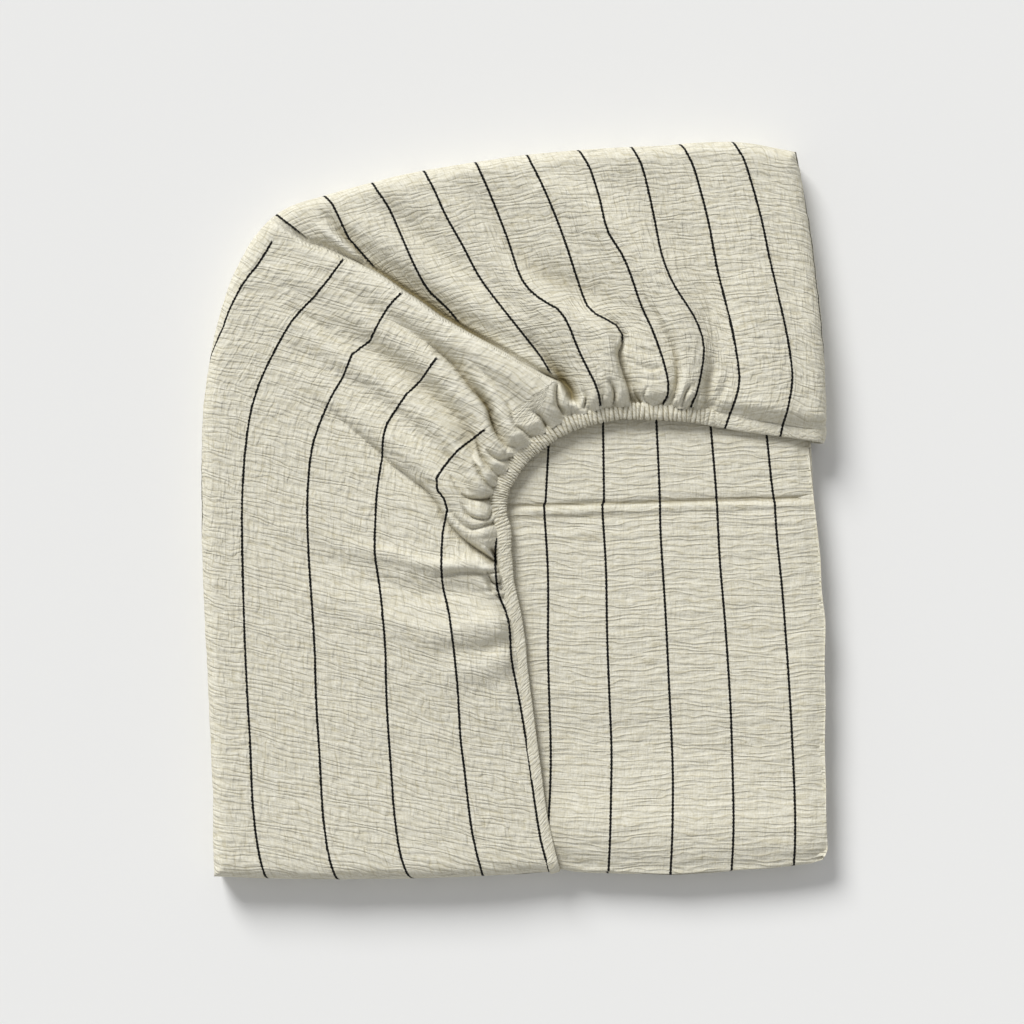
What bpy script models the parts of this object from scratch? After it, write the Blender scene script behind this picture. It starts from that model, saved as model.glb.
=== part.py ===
"""A fitted cot sheet of crinkled gauze, folded into a flat packet with one gathered corner on top.

The cloth is one piece. Doubled, it runs back and forth in six layers from the bottom of the
packet to the panel that shows at the lower right. Its corner pocket wraps the packet: walls rise
from the bottom layer, round over the edges and lie on top as an L, gathered by an elastic hem.

Lengths are in millimetres in the tables and become metres in the meshes. +X is to the right and
+Y away from the reader of the packet, +Z is up. The origin is at the middle of the footprint, on
the surface that the packet lies on.
"""

import math

import bmesh
import bpy
import numpy as np

MM = 0.001

# --- The doubled cloth of the stack -------------------------------------------------------------
LAYER_THICK = 2.4
LAYER_GAP = 1.1
LAYER_PITCH = LAYER_THICK + LAYER_GAP
LAYERS = 6
LAYER_STEPS = 6  # grid rows along a hidden layer
LOOP_STEPS = 4  # grid rows round a fold
STACK_COLUMNS = 9
EDGE_TAPER = 0.4  # share of the thickness at the rounded right-hand edge
EDGE_ROUND = 1.3  # width of that rounding
BACK_SEARCH = 30  # halvings that find where a column ends at the back

# --- The single cloth of the corner pocket ------------------------------------------------------
POCKET_THICK = 1.5
POCKET_TOP = 24.0  # height of its flat stretches
POCKET_LOWEST = 22.6  # no trough reaches lower, so that it clears the panel below
RIM_ROUND = 10.0  # radius where it turns down over the packet's edges
GATHER_SWELL = 3.6  # how much the gathered cloth stands up near the elastic
GATHER_REACH = 62.0
HEM_CALM = 8.0  # the folds die out over this distance from the hem's middle
RIM_CALM = 32.0  # and over this distance from the packet's edge

# Wall of the pocket from the rim down: how far in from the outline, how high, which way its outer
# side faces (outwards and up), and the share of the casing's extra thickness.
WALL = (
    # inset, height, face_out, face_up, casing
    (0.3, 8.6, 1.0, 0.0, 1.0),
    (1.4, 3.0, 0.94, -0.34, 0.7),
    (3.6, 0.7, 0.50, -0.87, 0.0),
    (9.0, 0.4, 0.0, -1.0, 0.0),
)
CORNER_TURN = 16.0  # the wall's facing turns over this distance at a corner

# --- Outlines, as seen from above ---------------------------------------------------------------
# One row for each section across the L, from the right-hand end of the hem to its lower end:
# the middle of the hem, the packet's edge opposite, and the grid columns up to the next row.
SECTIONS = [
    # hem_x, hem_y, rim_x, rim_y, columns
    (187.0, 45.5, 169.3, 216.0, 4),
    (150.0, 51.5, 131.0, 222.3, 4),
    (118.5, 56.2, 84.0, 220.0, 5),
    (99.0, 59.0, 57.0, 218.4, 6),
    (78.0, 60.0, 27.0, 216.3, 6),
    (58.5, 59.5, -6.0, 212.7, 6),
    (39.5, 55.0, -39.0, 207.9, 6),
    (22.5, 47.0, -72.0, 201.3, 6),
    (7.5, 35.5, -108.0, 191.7, 6),
    (-3.5, 21.5, -142.5, 179.1, 6),
    (-9.5, 5.5, -164.5, 152.0, 6),
    (-8.5, -11.0, -179.0, 112.0, 5),
    (-6.5, -28.0, -187.0, 64.0, 5),
    (-4.0, -46.0, -188.1, 19.0, 4),
    (0.8, -66.5, -187.6, -29.0, 3),
    (4.0, -89.0, -185.7, -77.0, 2),
    (9.5, -131.0, -183.3, -125.0, 2),
    (18.0, -179.0, -181.5, -173.0, 2),
    (26.5, -216.8, -180.9, -219.6, 0),
]
RIGHT_BULGE = 4.5  # the right-hand edge bows out between its corners
FRONT_BULGE = 2.8
SIDE_PULL = 0.09  # share of the columns that bow with such an edge
RIM_STEPS = (0.0, 1.0, 3.2, 7.5, 15.0)  # distances from the edge of the first grid rows
END_LENGTH = 42.0  # rough length of the first and last section
INNER_ROWS = 8  # further rows up to the hem
INNER_POWER = 0.8  # below 1 these rows lie closer together near the hem

# The panel's free edges: y of the front edge by x, and x of the right-hand edge by y.
FRONT_EDGE = ((-190, -213.5), (12, -213.5), (40, -217.6), (99, -219.6), (147, -216.4), (172, -213.4),
              (190, -211.0))
RIGHT_EDGE = ((-222, 187.0), (-203, 188.6), (-150, 186.4), (-65, 186.4), (-29, 184.0), (7, 179.8),
              (40, 176.8), (60, 180.2), (80, 180.0), (127, 177.6), (163, 174.6), (198, 168.5), (222, 164.0))
# Its hidden edges, under the pocket: x of the left-hand edge by y, and y of the back edge by x.
LEFT_EDGE = ((-222, -174.0), (-120, -177.5), (20, -182.0), (60, -181.5), (90, -178.6), (120, -172.0),
             (150, -159.5), (166, -150.0), (222, -150.0))
BACK_EDGE = ((-190, 151.0), (-160, 159.5), (-150, 166.0), (-140, 173.0), (-120, 182.0), (-100, 189.0),
             (-60, 199.5), (-20, 206.5), (30, 212.0), (100, 216.5), (140, 217.0), (165, 210.5), (190, 203.0))

# How far each layer stops short of those edges, and how its middle lies.
LAYER_ROWS = [
    # right_in, sag
    (0.6, 0.0),
    (3.4, 0.0),
    (1.2, 0.1),
    (4.0, -0.1),
    (0.4, 0.1),
    (0.0, 0.0),
]
FOLD_ROWS = [
    # end_in of the fold after each layer: front, back, front, back, front
    2.0,
    3.0,
    0.0,
    1.0,
    1.4,
]

# A sewn tuck crosses the panel, and the panel dips and rises towards its front edge.
TUCK_LEFT = (6.0, -0.4)
TUCK_RIGHT = (176.0, 8.4)
TUCK_HEIGHT = 1.5
TUCK_WIDTH = 4.0
PANEL_ROWS = (-45.0, -12.0, -4.0, 0.0, 4.5, 9.0, 30.0)  # grid rows, from the tuck's line
PANEL_DIP = (-150.0, 34.0, -0.5)  # middle, reach, height
PANEL_LIP = (-203.0, 13.0, 0.9)

# --- Folds of the gathered cloth ----------------------------------------------------------------
# Each fold runs from the hem outwards through a middle point, and its height is given at those
# three places, below zero for a crease. Its sides fall off over `left` and `right`.
FOLDS = {
    # name: (start_x, start_y, start_h), (mid_x, mid_y, mid_h), (end_x, end_y, end_h), left, right
    "roof": ((31, 71, 5.0), (-57, 124, 5.8), (-137, 171, 0.8), 13, 3.6),
    "roof_valley": ((34, 80, -1.0), (-57, 132, -5.4), (-135, 177, -0.8), 4.4, 8),
    "band_rim": ((9, 109, 1.0), (-48, 144, 2.4), (-111, 187, 0.8), 9, 9),
    "low_roll": ((6, 45, 4.4), (-22, 80, 4.0), (-71, 125, 0.8), 3.4, 6),
    "pleat_valley": ((-7, 38, -5.0), (-35, 82, -5.2), (-76, 126, -1.2), 3.4, 3.4),
    "middle_roll": ((-13, 43, 3.0), (-52, 98, 4.4), (-111, 141, 0.8), 11, 3.4),
    "middle_trough": ((-14, 39, -3.4), (-69, 88, -2.4), (-141, 127, -0.6), 4, 6),
    "third_roll": ((-15, 20, 3.4), (-69, 75, 3.4), (-138, 118, 1.0), 13, 4.5),
    "notch": ((-12, 30, -4.0), (-21, 40, -3.8), (-34, 44, -0.6), 3.2, 3.2),
    "flap_edge": ((-10, -29, 4.2), (-75, 37, 3.2), (-147, 96, 0.4), 3.2, 15),
    "flap_hollow": ((-15, -33, -3.4), (-74, 27, -2.4), (-129, 72, -0.4), 6, 3.2),
    "flap_crease": ((-13, -17, -2.6), (-31, 2, -1.8), (-48, 22, -0.8), 3.2, 3.2),
    "knob_ridge": ((-9, -38, 4.0), (-45, -21, 2.4), (-93, -14, 0.6), 6, 5),
    "knob_crease": ((-9, -45, -3.0), (-17, -40, -2.4), (-27, -37, -1.0), 3.2, 3.2),
    "hip_hollow": ((-9, -55, -3.0), (-62, -47, -2.8), (-129, -22, -0.8), 8, 7),
    "hip_roll": ((-6, -64, 2.2), (-51, -71, 2.2), (-117, -47, 0.6), 9, 6),
    "ripple": ((-4, -78, -2.0), (-21, -83, -1.8), (-42, -84, -0.6), 4, 4),
    "bulge_left": ((51, 72, 2.5), (-3, 131, 4.4), (-72, 196, 0.8), 13, 10),
    "bulge_gap": ((66, 116, -1.0), (18, 147, -3.2), (-27, 196, -1.2), 9, 10),
    "corner_gap": ((-27, 136, -1.2), (-61, 168, -2.4), (-88, 192, -0.8), 6, 6),
    "bulge_right": ((102, 68, 2.0), (84, 142, 4.8), (8, 204, 1.0), 15, 13),
    "shoulder_gap": ((126, 67, -1.0), (113, 133, -2.4), (63, 202, -0.8), 10, 12),
    "shoulder": ((156, 55, 1.2), (141, 127, 2.0), (119, 187, 0.8), 15, 18),
    "tall_fold": ((56, 64, 3.0), (61, 96, 5.6), (39, 124, 1.2), 11, 3.2),
    "tall_crease": ((63, 64, -5.0), (66, 97, -5.0), (59, 119, -1.5), 3.2, 4.5),
    "curl_crease": ((38, 64, -4.2), (35, 74, -4.2), (20, 87, -1.6), 3.2, 3.6),
    "third_crease": ((54, 64, -2.6), (51, 84, -2.2), (35, 112, -0.8), 3.2, 3.5),
    "fourth_crease": ((79, 65, -4.0), (80, 80, -3.4), (71, 96, -0.6), 3.2, 3.4),
    "fifth_crease": ((91, 64, -4.4), (96, 84, -4.0), (89, 112, -0.6), 3.2, 4),
    "sixth_crease": ((103, 62, -3.4), (112, 83, -3.2), (114, 112, -0.6), 3.4, 4.5),
    "last_crease": ((115, 60, -2.0), (123, 74, -1.8), (129, 91, -0.6), 3.6, 4),
}

# --- The elastic hem ----------------------------------------------------------------------------
# The casing of the elastic by its place in SECTIONS, and how deep its gathers are.
HEM_SIZES = [
    # section, half_height, gather
    (0.0, 1.3, 0.0),
    (2.0, 1.5, 0.0),
    (3.0, 1.9, 0.3),
    (12.0, 2.0, 0.3),
    (14.0, 1.8, 0.1),
    (16.0, 1.2, 0.0),
    (18.0, 1.1, 0.0),
]
HEM_LEVEL = 22.8  # height of the casing's middle
# Rows across the casing: distance from its middle towards the gathers, and share of its height.
HEM_ROWS = ((4.9, 0.0), (3.5, 0.8), (0.0, 1.0), (-3.4, 0.75), (-4.6, 0.2))

CLOTH_COLOUR = (0.60, 0.57, 0.47, 1.0)
CLOTH_ROUGHNESS = 0.9


# === Curves and profiles ========================================================================


def smooth_step(x):
    """0 below 0, 1 above 1 and a soft S between."""
    x = np.clip(x, 0.0, 1.0)
    return x * x * (3 - 2 * x)


def through(rows, place):
    """A smooth curve through the rows of a table, read at row numbers that may be fractions."""
    rows = np.asarray(rows, float)
    place = np.clip(np.atleast_1d(place), 0, len(rows) - 1)
    first = np.minimum(place.astype(int), len(rows) - 2)
    part = (place - first)[:, None]
    before, after = np.maximum(first - 1, 0), np.minimum(first + 2, len(rows) - 1)
    a, b, c, d = rows[before], rows[first], rows[first + 1], rows[after]
    return b + 0.5 * part * (c - a + part * (2 * a - 5 * b + 4 * c - d + part * (3 * (b - c) + d - a)))


def read(table, at):
    """Straight interpolation in a table of (where, value) pairs."""
    where, value = np.asarray(table, float).T
    return np.interp(at, where, value)


def fold_height(points, fold):
    """Height that one fold adds at points seen from above."""
    start, middle, end, left, right = fold
    share = np.linspace(0, 1, 25)
    # A curve through start, middle and end, cut into short pieces.
    weight = np.stack([(1 - share) * (1 - 2 * share), 4 * share * (1 - share), share * (2 * share - 1)])
    line = weight.T @ np.array([start[:2], middle[:2], end[:2]], float)
    height = np.interp(share, (0, 0.5, 1), (start[2], middle[2], end[2]))
    best = np.full(len(points), np.inf)
    found = np.zeros(len(points))
    for a, b, h_a, h_b in zip(line[:-1], line[1:], height[:-1], height[1:]):
        way = b - a
        along = np.clip((points - a) @ way / (way @ way), 0, 1)
        off = points - a - along[:, None] * way
        away = np.hypot(off[:, 0], off[:, 1])
        on_left = way[0] * off[:, 1] - way[1] * off[:, 0] > 0
        fall = np.exp(-((away / np.where(on_left, left, right)) ** 2))
        nearer = away < best
        best = np.where(nearer, away, best)
        found = np.where(nearer, (h_a + along * (h_b - h_a)) * fall, found)
    return found


def distance_to(points, line):
    """Distance from points to an open line of points, seen from above."""
    best = np.full(len(points), np.inf)
    for a, b in zip(line[:-1], line[1:]):
        way = b - a
        along = np.clip((points - a) @ way / (way @ way), 0, 1)
        off = points - a - along[:, None] * way
        best = np.minimum(best, np.hypot(off[:, 0], off[:, 1]))
    return best


# === Meshes =====================================================================================


def sheet_object(name, grid):
    """An open sheet through a grid of points in millimetres, from Blender's own grid."""
    rows, columns = grid.shape[:2]
    mesh = bpy.data.meshes.new(name)
    built = bmesh.new()
    bmesh.ops.create_grid(built, x_segments=columns - 1, y_segments=rows - 1, size=0.5)
    built.verts.ensure_lookup_table()
    for vertex, place in zip(built.verts, grid.reshape(-1, 3)):
        vertex.co = place * MM
    built.to_mesh(mesh)
    built.free()
    made = bpy.data.objects.new(name, mesh)
    bpy.context.collection.objects.link(made)
    return made


def thicken(made, thickness, offset, group=None, thinnest=1.0):
    """Gives a sheet its thickness, less along the points of a vertex group."""
    solid = made.modifiers.new("cloth", "SOLIDIFY")
    solid.thickness = thickness * MM
    solid.offset = offset
    if group:
        solid.vertex_group = group
        solid.thickness_vertex_group = thinnest
    return made


def shell_object(name, middle, faces, outer, inner):
    """A closed solid between two offset copies of an open sheet; the rims are skinned over."""
    count = len(middle)
    edges = {}
    for face in faces:
        for start, end in zip(face, face[1:] + face[:1]):
            edges[(start, end)] = edges.get((start, end), 0) + 1
    rims = [(start, end) for start, end in edges if (end, start) not in edges]
    solid = [tuple(face) for face in faces]
    solid += [tuple(count + index for index in reversed(face)) for face in faces]
    solid += [(end, start, count + start, count + end) for start, end in rims]
    mesh = bpy.data.meshes.new(name)
    mesh.from_pydata(np.concatenate([middle + outer, middle + inner]) * MM, [], solid)
    made = bpy.data.objects.new(name, mesh)
    bpy.context.collection.objects.link(made)
    return made


def as_mesh(made):
    """The same object with its modifiers turned into plain mesh."""
    graph = bpy.context.evaluated_depsgraph_get()
    mesh = bpy.data.meshes.new_from_object(made.evaluated_get(graph))
    made.modifiers.clear()
    made.data = mesh
    return made


def join(made, other):
    """Joins another closed solid to this one and removes it."""
    union = made.modifiers.new("join", "BOOLEAN")
    union.operation = "UNION"
    union.object = other
    as_mesh(made)
    bpy.data.objects.remove(other)
    return made


# === The stack: one strip of doubled cloth, back and forth ======================================


def panel_relief(x, y):
    """Height of the panel over its mean: the sewn tuck, a dip and a lip at the front."""
    slope = (TUCK_RIGHT[1] - TUCK_LEFT[1]) / (TUCK_RIGHT[0] - TUCK_LEFT[0])
    from_tuck = y - TUCK_LEFT[1] - slope * (x - TUCK_LEFT[0])
    tuck = TUCK_HEIGHT * np.exp(-((from_tuck / TUCK_WIDTH) ** 2))
    shown = smooth_step((x - TUCK_LEFT[0]) / 16)
    waves = sum(high * np.exp(-(((y - mid) / reach) ** 2)) for mid, reach, high in (PANEL_DIP, PANEL_LIP))
    return tuck * shown + waves


def back_end(share):
    """y at which a column of the strip, at this share of its width, meets the back edge."""
    y = BACK_EDGE[0][1]
    for _ in range(BACK_SEARCH):
        low, high = float(read(LEFT_EDGE, y)), float(read(RIGHT_EDGE, y))
        y = (y + float(read(BACK_EDGE, low + share * (high - low)))) / 2
    return y


def stack_rows(x, back):
    """The strip's section at one x: (y, z) pairs of its middle line, from the bottom layer up."""
    front = float(read(FRONT_EDGE, x))
    radius = LAYER_PITCH / 2
    slope = (TUCK_RIGHT[1] - TUCK_LEFT[1]) / (TUCK_RIGHT[0] - TUCK_LEFT[0])
    tuck_y = TUCK_LEFT[1] + slope * (x - TUCK_LEFT[0])
    line = []
    start = back
    for layer in range(LAYERS):
        z = LAYER_THICK / 2 + layer * LAYER_PITCH
        forward = layer % 2 == 0  # towards the front edge
        top = layer == LAYERS - 1
        if top:
            end = back - 3.0
        else:
            inset = FOLD_ROWS[layer] + radius + LAYER_THICK / 2
            end = front + inset if forward else back - inset
        shares = np.linspace(0, 1, LAYER_STEPS + 1)
        ys = start + shares * (end - start)
        if top:
            inner = [tuck_y + off for off in PANEL_ROWS]
            outer = [start, start + 4, start + 9, start + 18, start + 34, start + 60, start + 95]
            ys = np.array(outer + inner + [tuck_y + 70, end - 45, end])
        sag = LAYER_ROWS[layer][1] * np.sin(math.pi * (ys - ys[0]) / (ys[-1] - ys[0]))
        line += [(y, z + s) for y, s in zip(ys, sag)]
        if not top:
            side = -1 if forward else 1
            for step in range(1, LOOP_STEPS):
                turn = math.pi * step / LOOP_STEPS
                line.append((end + side * radius * math.sin(turn), z + radius - radius * math.cos(turn)))
        start = end
    return np.array(line)


def row_layers(count):
    """Which layer each row of the section belongs to, with fractions round the folds."""
    marks = []
    for layer in range(LAYERS):
        top = layer == LAYERS - 1
        steps = count - len(marks) if top else LAYER_STEPS + 1
        marks += [float(layer)] * steps
        if not top:
            marks += [layer + step / LOOP_STEPS for step in range(1, LOOP_STEPS)]
    return np.array(marks)


def make_stack():
    """The six doubled layers as one solid strip."""
    left = float(np.min(np.asarray(LEFT_EDGE)[:, 1]))
    share = np.linspace(0, 1, STACK_COLUMNS)
    guide_x = left + share * (float(RIGHT_EDGE[1][1]) - left)
    sections = np.array([stack_rows(x, back_end(part)) for x, part in zip(guide_x, share)])
    layer = row_layers(sections.shape[1])
    right_in = np.interp(layer, range(LAYERS), [row[0] for row in LAYER_ROWS])
    grid = np.zeros((sections.shape[1], STACK_COLUMNS + 2, 3))
    for row in range(grid.shape[0]):
        y = sections[:, row, 0]
        low, high = read(LEFT_EDGE, y), read(RIGHT_EDGE, y) - right_in[row]
        x = low + share * (high - low - EDGE_ROUND)
        z = sections[:, row, 1]
        if layer[row] > LAYERS - 2:
            z = z + panel_relief(x, y) * (layer[row] - (LAYERS - 2))
        grid[row, 1:-1] = np.stack([x, y, z], axis=1)
        grid[row, 0] = grid[row, 1] - (EDGE_ROUND, 0, 0)
        grid[row, -1] = grid[row, -2] + (EDGE_ROUND, 0, 0)
    stack = sheet_object("folded_sheet", grid[:, ::-1])
    full = stack.vertex_groups.new(name="full_thickness")
    columns = grid.shape[1]
    for index in range(len(stack.data.vertices)):
        edge = index % columns in (0, columns - 1)
        full.add([index], 0.0 if edge else 1.0, "REPLACE")
    return as_mesh(thicken(stack, LAYER_THICK, 0.0, full.name, EDGE_TAPER))


# === The corner pocket ==========================================================================


def section_places():
    """Row numbers in SECTIONS of the pocket's grid columns, close together near both ends."""
    last = len(SECTIONS) - 1
    near = [step / END_LENGTH for step in RIM_STEPS]
    places = near + [last - part for part in near]
    places += [row + step / steps[4] for row, steps in enumerate(SECTIONS[:-1]) for step in range(steps[4])
               if row + step / steps[4] > near[-1] + 0.2 and row + step / steps[4] < last - near[-1] - 0.2]
    return np.array(sorted(places))


def pocket_plan():
    """The pocket's top seen from above, as a grid: rows from the edge to the hem, by columns."""
    curve = through([row[:4] for row in SECTIONS], section_places())
    hem, rim = curve[:, :2], curve[:, 2:]
    across = np.linalg.norm(rim - hem, axis=1)
    first, last = RIM_STEPS[-1] / across, 1 - HEM_ROWS[0][0] / across
    inner = (np.arange(1, INNER_ROWS) / INNER_ROWS) ** INNER_POWER
    rows = [step / across for step in RIM_STEPS]
    rows += [first + part * (last - first) for part in inner]
    rows += [1 - row[0] / across for row in HEM_ROWS]
    share = np.array(rows)  # 0 at the edge, 1 at the hem's middle
    plan = rim[None] * (1 - share[..., None]) + hem[None] * share[..., None]
    bow = np.clip(4 * share * (1 - share), 0, 1)
    from_right = np.linspace(0, 1, plan.shape[1])
    plan[..., 0] += RIGHT_BULGE * bow * smooth_step(1 - from_right / SIDE_PULL)
    plan[..., 1] -= FRONT_BULGE * bow * smooth_step(1 - (1 - from_right) / SIDE_PULL)
    return plan, hem


def outline_of(grid):
    """The edge of a grid from the casing's right-hand end round to its lower end."""
    return np.concatenate([grid[::-1, 0], grid[0, 1:], grid[1:, -1]])


def facing(outline):
    """Outward directions along the outline, turning gradually at its corners."""
    way = np.gradient(outline, axis=0)
    way /= np.linalg.norm(way, axis=1)[:, None]
    raw = np.stack([way[:, 1], -way[:, 0]], axis=1)
    if (raw[0] @ np.array([1.0, 0.0])) < 0:
        raw = -raw
    walked = np.append(0, np.cumsum(np.linalg.norm(np.diff(outline, axis=0), axis=1)))
    step = np.gradient(walked)
    near = np.exp(-(((walked[:, None] - walked[None]) / CORNER_TURN) ** 2)) * step
    mean = near @ raw
    return mean / np.linalg.norm(mean, axis=1)[:, None]


def pocket_height(points, outline, hem):
    """Height of the pocket's top side at points seen from above, and their distance from its edge."""
    from_hem, from_rim = distance_to(points, hem), distance_to(points, outline)
    calm = smooth_step((from_hem - 2) / HEM_CALM) * smooth_step((from_rim - 2) / RIM_CALM)
    level = HEM_LEVEL + POCKET_THICK / 2
    height = level + (POCKET_TOP - level) * smooth_step(from_hem / 20)
    swell = GATHER_SWELL * np.exp(-((from_hem / GATHER_REACH) ** 2))
    height += swell * smooth_step((points[:, 1] + 150) / 90) * smooth_step((from_hem - 2) / HEM_CALM)
    height += sum(fold_height(points, fold) for fold in FOLDS.values()) * calm
    spare = height - POCKET_LOWEST - 1
    height = np.where(spare < 0, POCKET_LOWEST + np.exp(np.minimum(spare, 0)), height)
    inside = np.minimum(from_rim, RIM_ROUND)
    return height - RIM_ROUND + np.sqrt(RIM_ROUND**2 - (RIM_ROUND - inside) ** 2), from_rim


def casing_extra(columns):
    """How much the casing adds to each side of the cloth, by grid row and column."""
    places = section_places()
    table = np.array(HEM_SIZES)
    high = np.interp(places, table[:, 0], table[:, 1])
    gather = np.interp(places, table[:, 0], table[:, 2])
    high = high + gather * np.where(np.arange(columns) % 2, 1, -1) - POCKET_THICK / 2
    rows = len(RIM_STEPS) + INNER_ROWS - 1
    extra = np.zeros((rows + len(HEM_ROWS), columns))
    for row, (_, share) in enumerate(HEM_ROWS):
        extra[rows + row] = share * (high + POCKET_THICK / 2) - POCKET_THICK / 2 if share else 0.0
    return extra


def make_pocket():
    """The L of gathered cloth with its elastic casing and its walls, as one solid."""
    plan, hem = pocket_plan()
    rows, columns = plan.shape[:2]
    flat = plan.reshape(-1, 2)
    outline = outline_of(plan)
    out = facing(outline)
    height, from_rim = pocket_height(flat, outline, hem)
    nearest = np.argmin(np.linalg.norm(flat[:, None] - outline[None], axis=2), axis=1)
    level = np.clip((RIM_ROUND - from_rim) / RIM_ROUND, 0, 1)
    normal = np.column_stack([out[nearest] * level[:, None], np.sqrt(1 - level**2)])
    extra = casing_extra(columns)
    index = np.arange(rows * columns).reshape(rows, columns)
    places = [np.column_stack([flat, height])]
    normals = [normal]
    extras = [extra.reshape(-1)]
    faces = []
    for row in range(rows - 1):
        for column in range(columns - 1):
            a, b = index[row, column], index[row, column + 1]
            faces.append((a, b, index[row + 1, column + 1], index[row + 1, column]))
    above = outline_of(index)
    edge_extra = outline_of(extra)
    count = rows * columns
    for inset, high, face_out, face_up, casing in WALL:
        ring = np.column_stack([outline - inset * out, np.full(len(outline), high)])
        places.append(ring)
        normals.append(np.column_stack([out * face_out, np.full(len(outline), face_up)]))
        extras.append(edge_extra * casing)
        below = np.arange(count, count + len(outline))
        for left, right in zip(range(len(outline) - 1), range(1, len(outline))):
            faces.append((above[left], below[left], below[right], above[right]))
        above = below
        count += len(outline)
    faces = [tuple(int(i) for i in face) for face in faces]
    places, normals, extras = np.concatenate(places), np.concatenate(normals), np.concatenate(extras)
    outer = normals * extras[:, None]
    inner = -normals * (extras[:, None] + POCKET_THICK)
    return shell_object("corner_pocket", places, faces, outer, inner)


# === The whole sheet ============================================================================


def cloth_material():
    """Undyed gauze."""
    made = bpy.data.materials.new("crinkled_gauze")
    made.use_nodes = True
    shader = made.node_tree.nodes["Principled BSDF"]
    shader.inputs["Base Color"].default_value = CLOTH_COLOUR
    shader.inputs["Roughness"].default_value = CLOTH_ROUGHNESS
    shader.inputs["Metallic"].default_value = 0.0
    return made


def centre_on_floor(made):
    """Moves a mesh so that its box is centred over the origin and rests at zero height."""
    places = np.array([vertex.co for vertex in made.data.vertices])
    low, high = places.min(axis=0), places.max(axis=0)
    shift = -np.array([(low[0] + high[0]) / 2, (low[1] + high[1]) / 2, low[2]])
    for vertex, place in zip(made.data.vertices, places + shift):
        vertex.co = place


def main():
    for old in list(bpy.data.objects):
        bpy.data.objects.remove(old)
    home = bpy.data.collections.new("folded_fitted_sheet")
    bpy.context.scene.collection.children.link(home)
    bpy.context.view_layer.active_layer_collection = bpy.context.view_layer.layer_collection.children[-1]
    sheet = make_stack()
    join(sheet, make_pocket())
    centre_on_floor(sheet)
    sheet.data.materials.clear()
    sheet.data.materials.append(cloth_material())
    sheet.data.shade_smooth()
    sheet.data.set_sharp_from_angle(angle=math.radians(50))


main()
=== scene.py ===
"""Looks of a folded fitted cot sheet in crinkled gauze with thin dark stripes.

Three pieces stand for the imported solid. `folded_layers` is the doubled cloth, back and forth in
six layers, with the panel that shows on top. `gathered_corner` is the single cloth of the corner
that wraps the packet. `elastic_hem` is the casing that gathers it.

Tables are in millimetres in the packet's own plan: +X to the right, +Y away from the reader.
"""

import logging
import math
from collections.abc import Callable
from dataclasses import dataclass, field
from enum import Enum
from functools import partial

import bpy
import numpy as np
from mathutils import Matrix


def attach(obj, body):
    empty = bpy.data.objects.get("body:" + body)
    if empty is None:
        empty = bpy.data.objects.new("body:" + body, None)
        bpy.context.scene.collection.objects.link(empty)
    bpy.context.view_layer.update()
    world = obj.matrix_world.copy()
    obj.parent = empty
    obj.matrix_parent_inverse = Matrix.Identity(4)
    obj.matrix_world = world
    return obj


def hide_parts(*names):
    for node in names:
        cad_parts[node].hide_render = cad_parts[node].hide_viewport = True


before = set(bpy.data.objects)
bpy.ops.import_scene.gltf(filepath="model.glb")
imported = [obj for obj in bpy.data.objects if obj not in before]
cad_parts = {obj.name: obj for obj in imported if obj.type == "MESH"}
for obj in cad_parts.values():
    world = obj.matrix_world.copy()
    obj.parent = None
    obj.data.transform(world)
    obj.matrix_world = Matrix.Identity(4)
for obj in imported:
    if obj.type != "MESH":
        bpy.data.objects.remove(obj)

MM = 0.001
SOLID = "folded_sheet"
BODY = "root"
LOG = logging.getLogger("folded_fitted_sheet")

PACKET_SHIFT = (-0.24, -0.57)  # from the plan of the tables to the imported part
STRIPE_PITCH = 36.6  # usual distance between stripes, which turns a count of stripes into millimetres
LINE_POINTS = 12  # fine points for each point of a drawn line
FOLD_POINTS = 6  # points of a fold's line for each point of its table
FOLD_REACH = 3.6  # where a fold has faded out, in widths from its line
NOISE_TABLE = (97, 89)  # random values each way, after which a soft noise repeats
SURE = 20.0  # from here up a soft floor changes nothing

Array = np.ndarray
Pair = tuple[float, float]
Triple = tuple[float, float, float]
Colour = tuple[float, float, float, float]
Move = Callable[[Array], Array]
Socket = bpy.types.NodeSocket


# === Curves and fields ==========================================================================


def smooth_step(value: Array) -> Array:
    """0 below 0, 1 above 1 and a soft S between."""
    value = np.clip(value, 0.0, 1.0)
    return value * value * (3 - 2 * value)


def fade(at: Array, off: float, on: float) -> Array:
    """A soft S from 0 at `off` to 1 at `on`, which may be the lower of the two."""
    return smooth_step((at - off) / (on - off))


def bell(away: Array, reach: float | Array) -> Array:
    """1 in the middle, with a soft fall over the reach to both sides."""
    return np.exp(-((away / reach) ** 2))


def soft_floor(value: Array) -> Array:
    """The value itself well above 0, with a soft landing on 0 below."""
    return np.where(value > SURE, value, np.log1p(np.exp(np.minimum(value, SURE))))


def unit(rows: Array) -> Array:
    """The same directions, with a length of 1."""
    return rows / np.linalg.norm(rows, axis=-1, keepdims=True)


def soft_window(reach: int) -> Array:
    """Weights of a soft mean over `reach` points to each side, which add up to 1."""
    weight = np.hanning(2 * reach + 3)[1:-1]
    return weight / weight.sum()


def walked_along(line: Array) -> Array:
    """How far along its line each point is."""
    return np.append(0, np.cumsum(np.linalg.norm(np.diff(line, axis=0), axis=1)))


def read(table: tuple[Pair, ...], at: Array) -> Array:
    """Straight interpolation in a table of (where, value) pairs."""
    where, value = np.asarray(table, float).T
    return np.interp(at, where, value)


def read_rows(at: Array, where: Array, rows: Array) -> Array:
    """Rows of numbers that stand at `where`, read by straight interpolation at other places."""
    return np.column_stack([np.interp(at, where, column) for column in rows.T])


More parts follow.
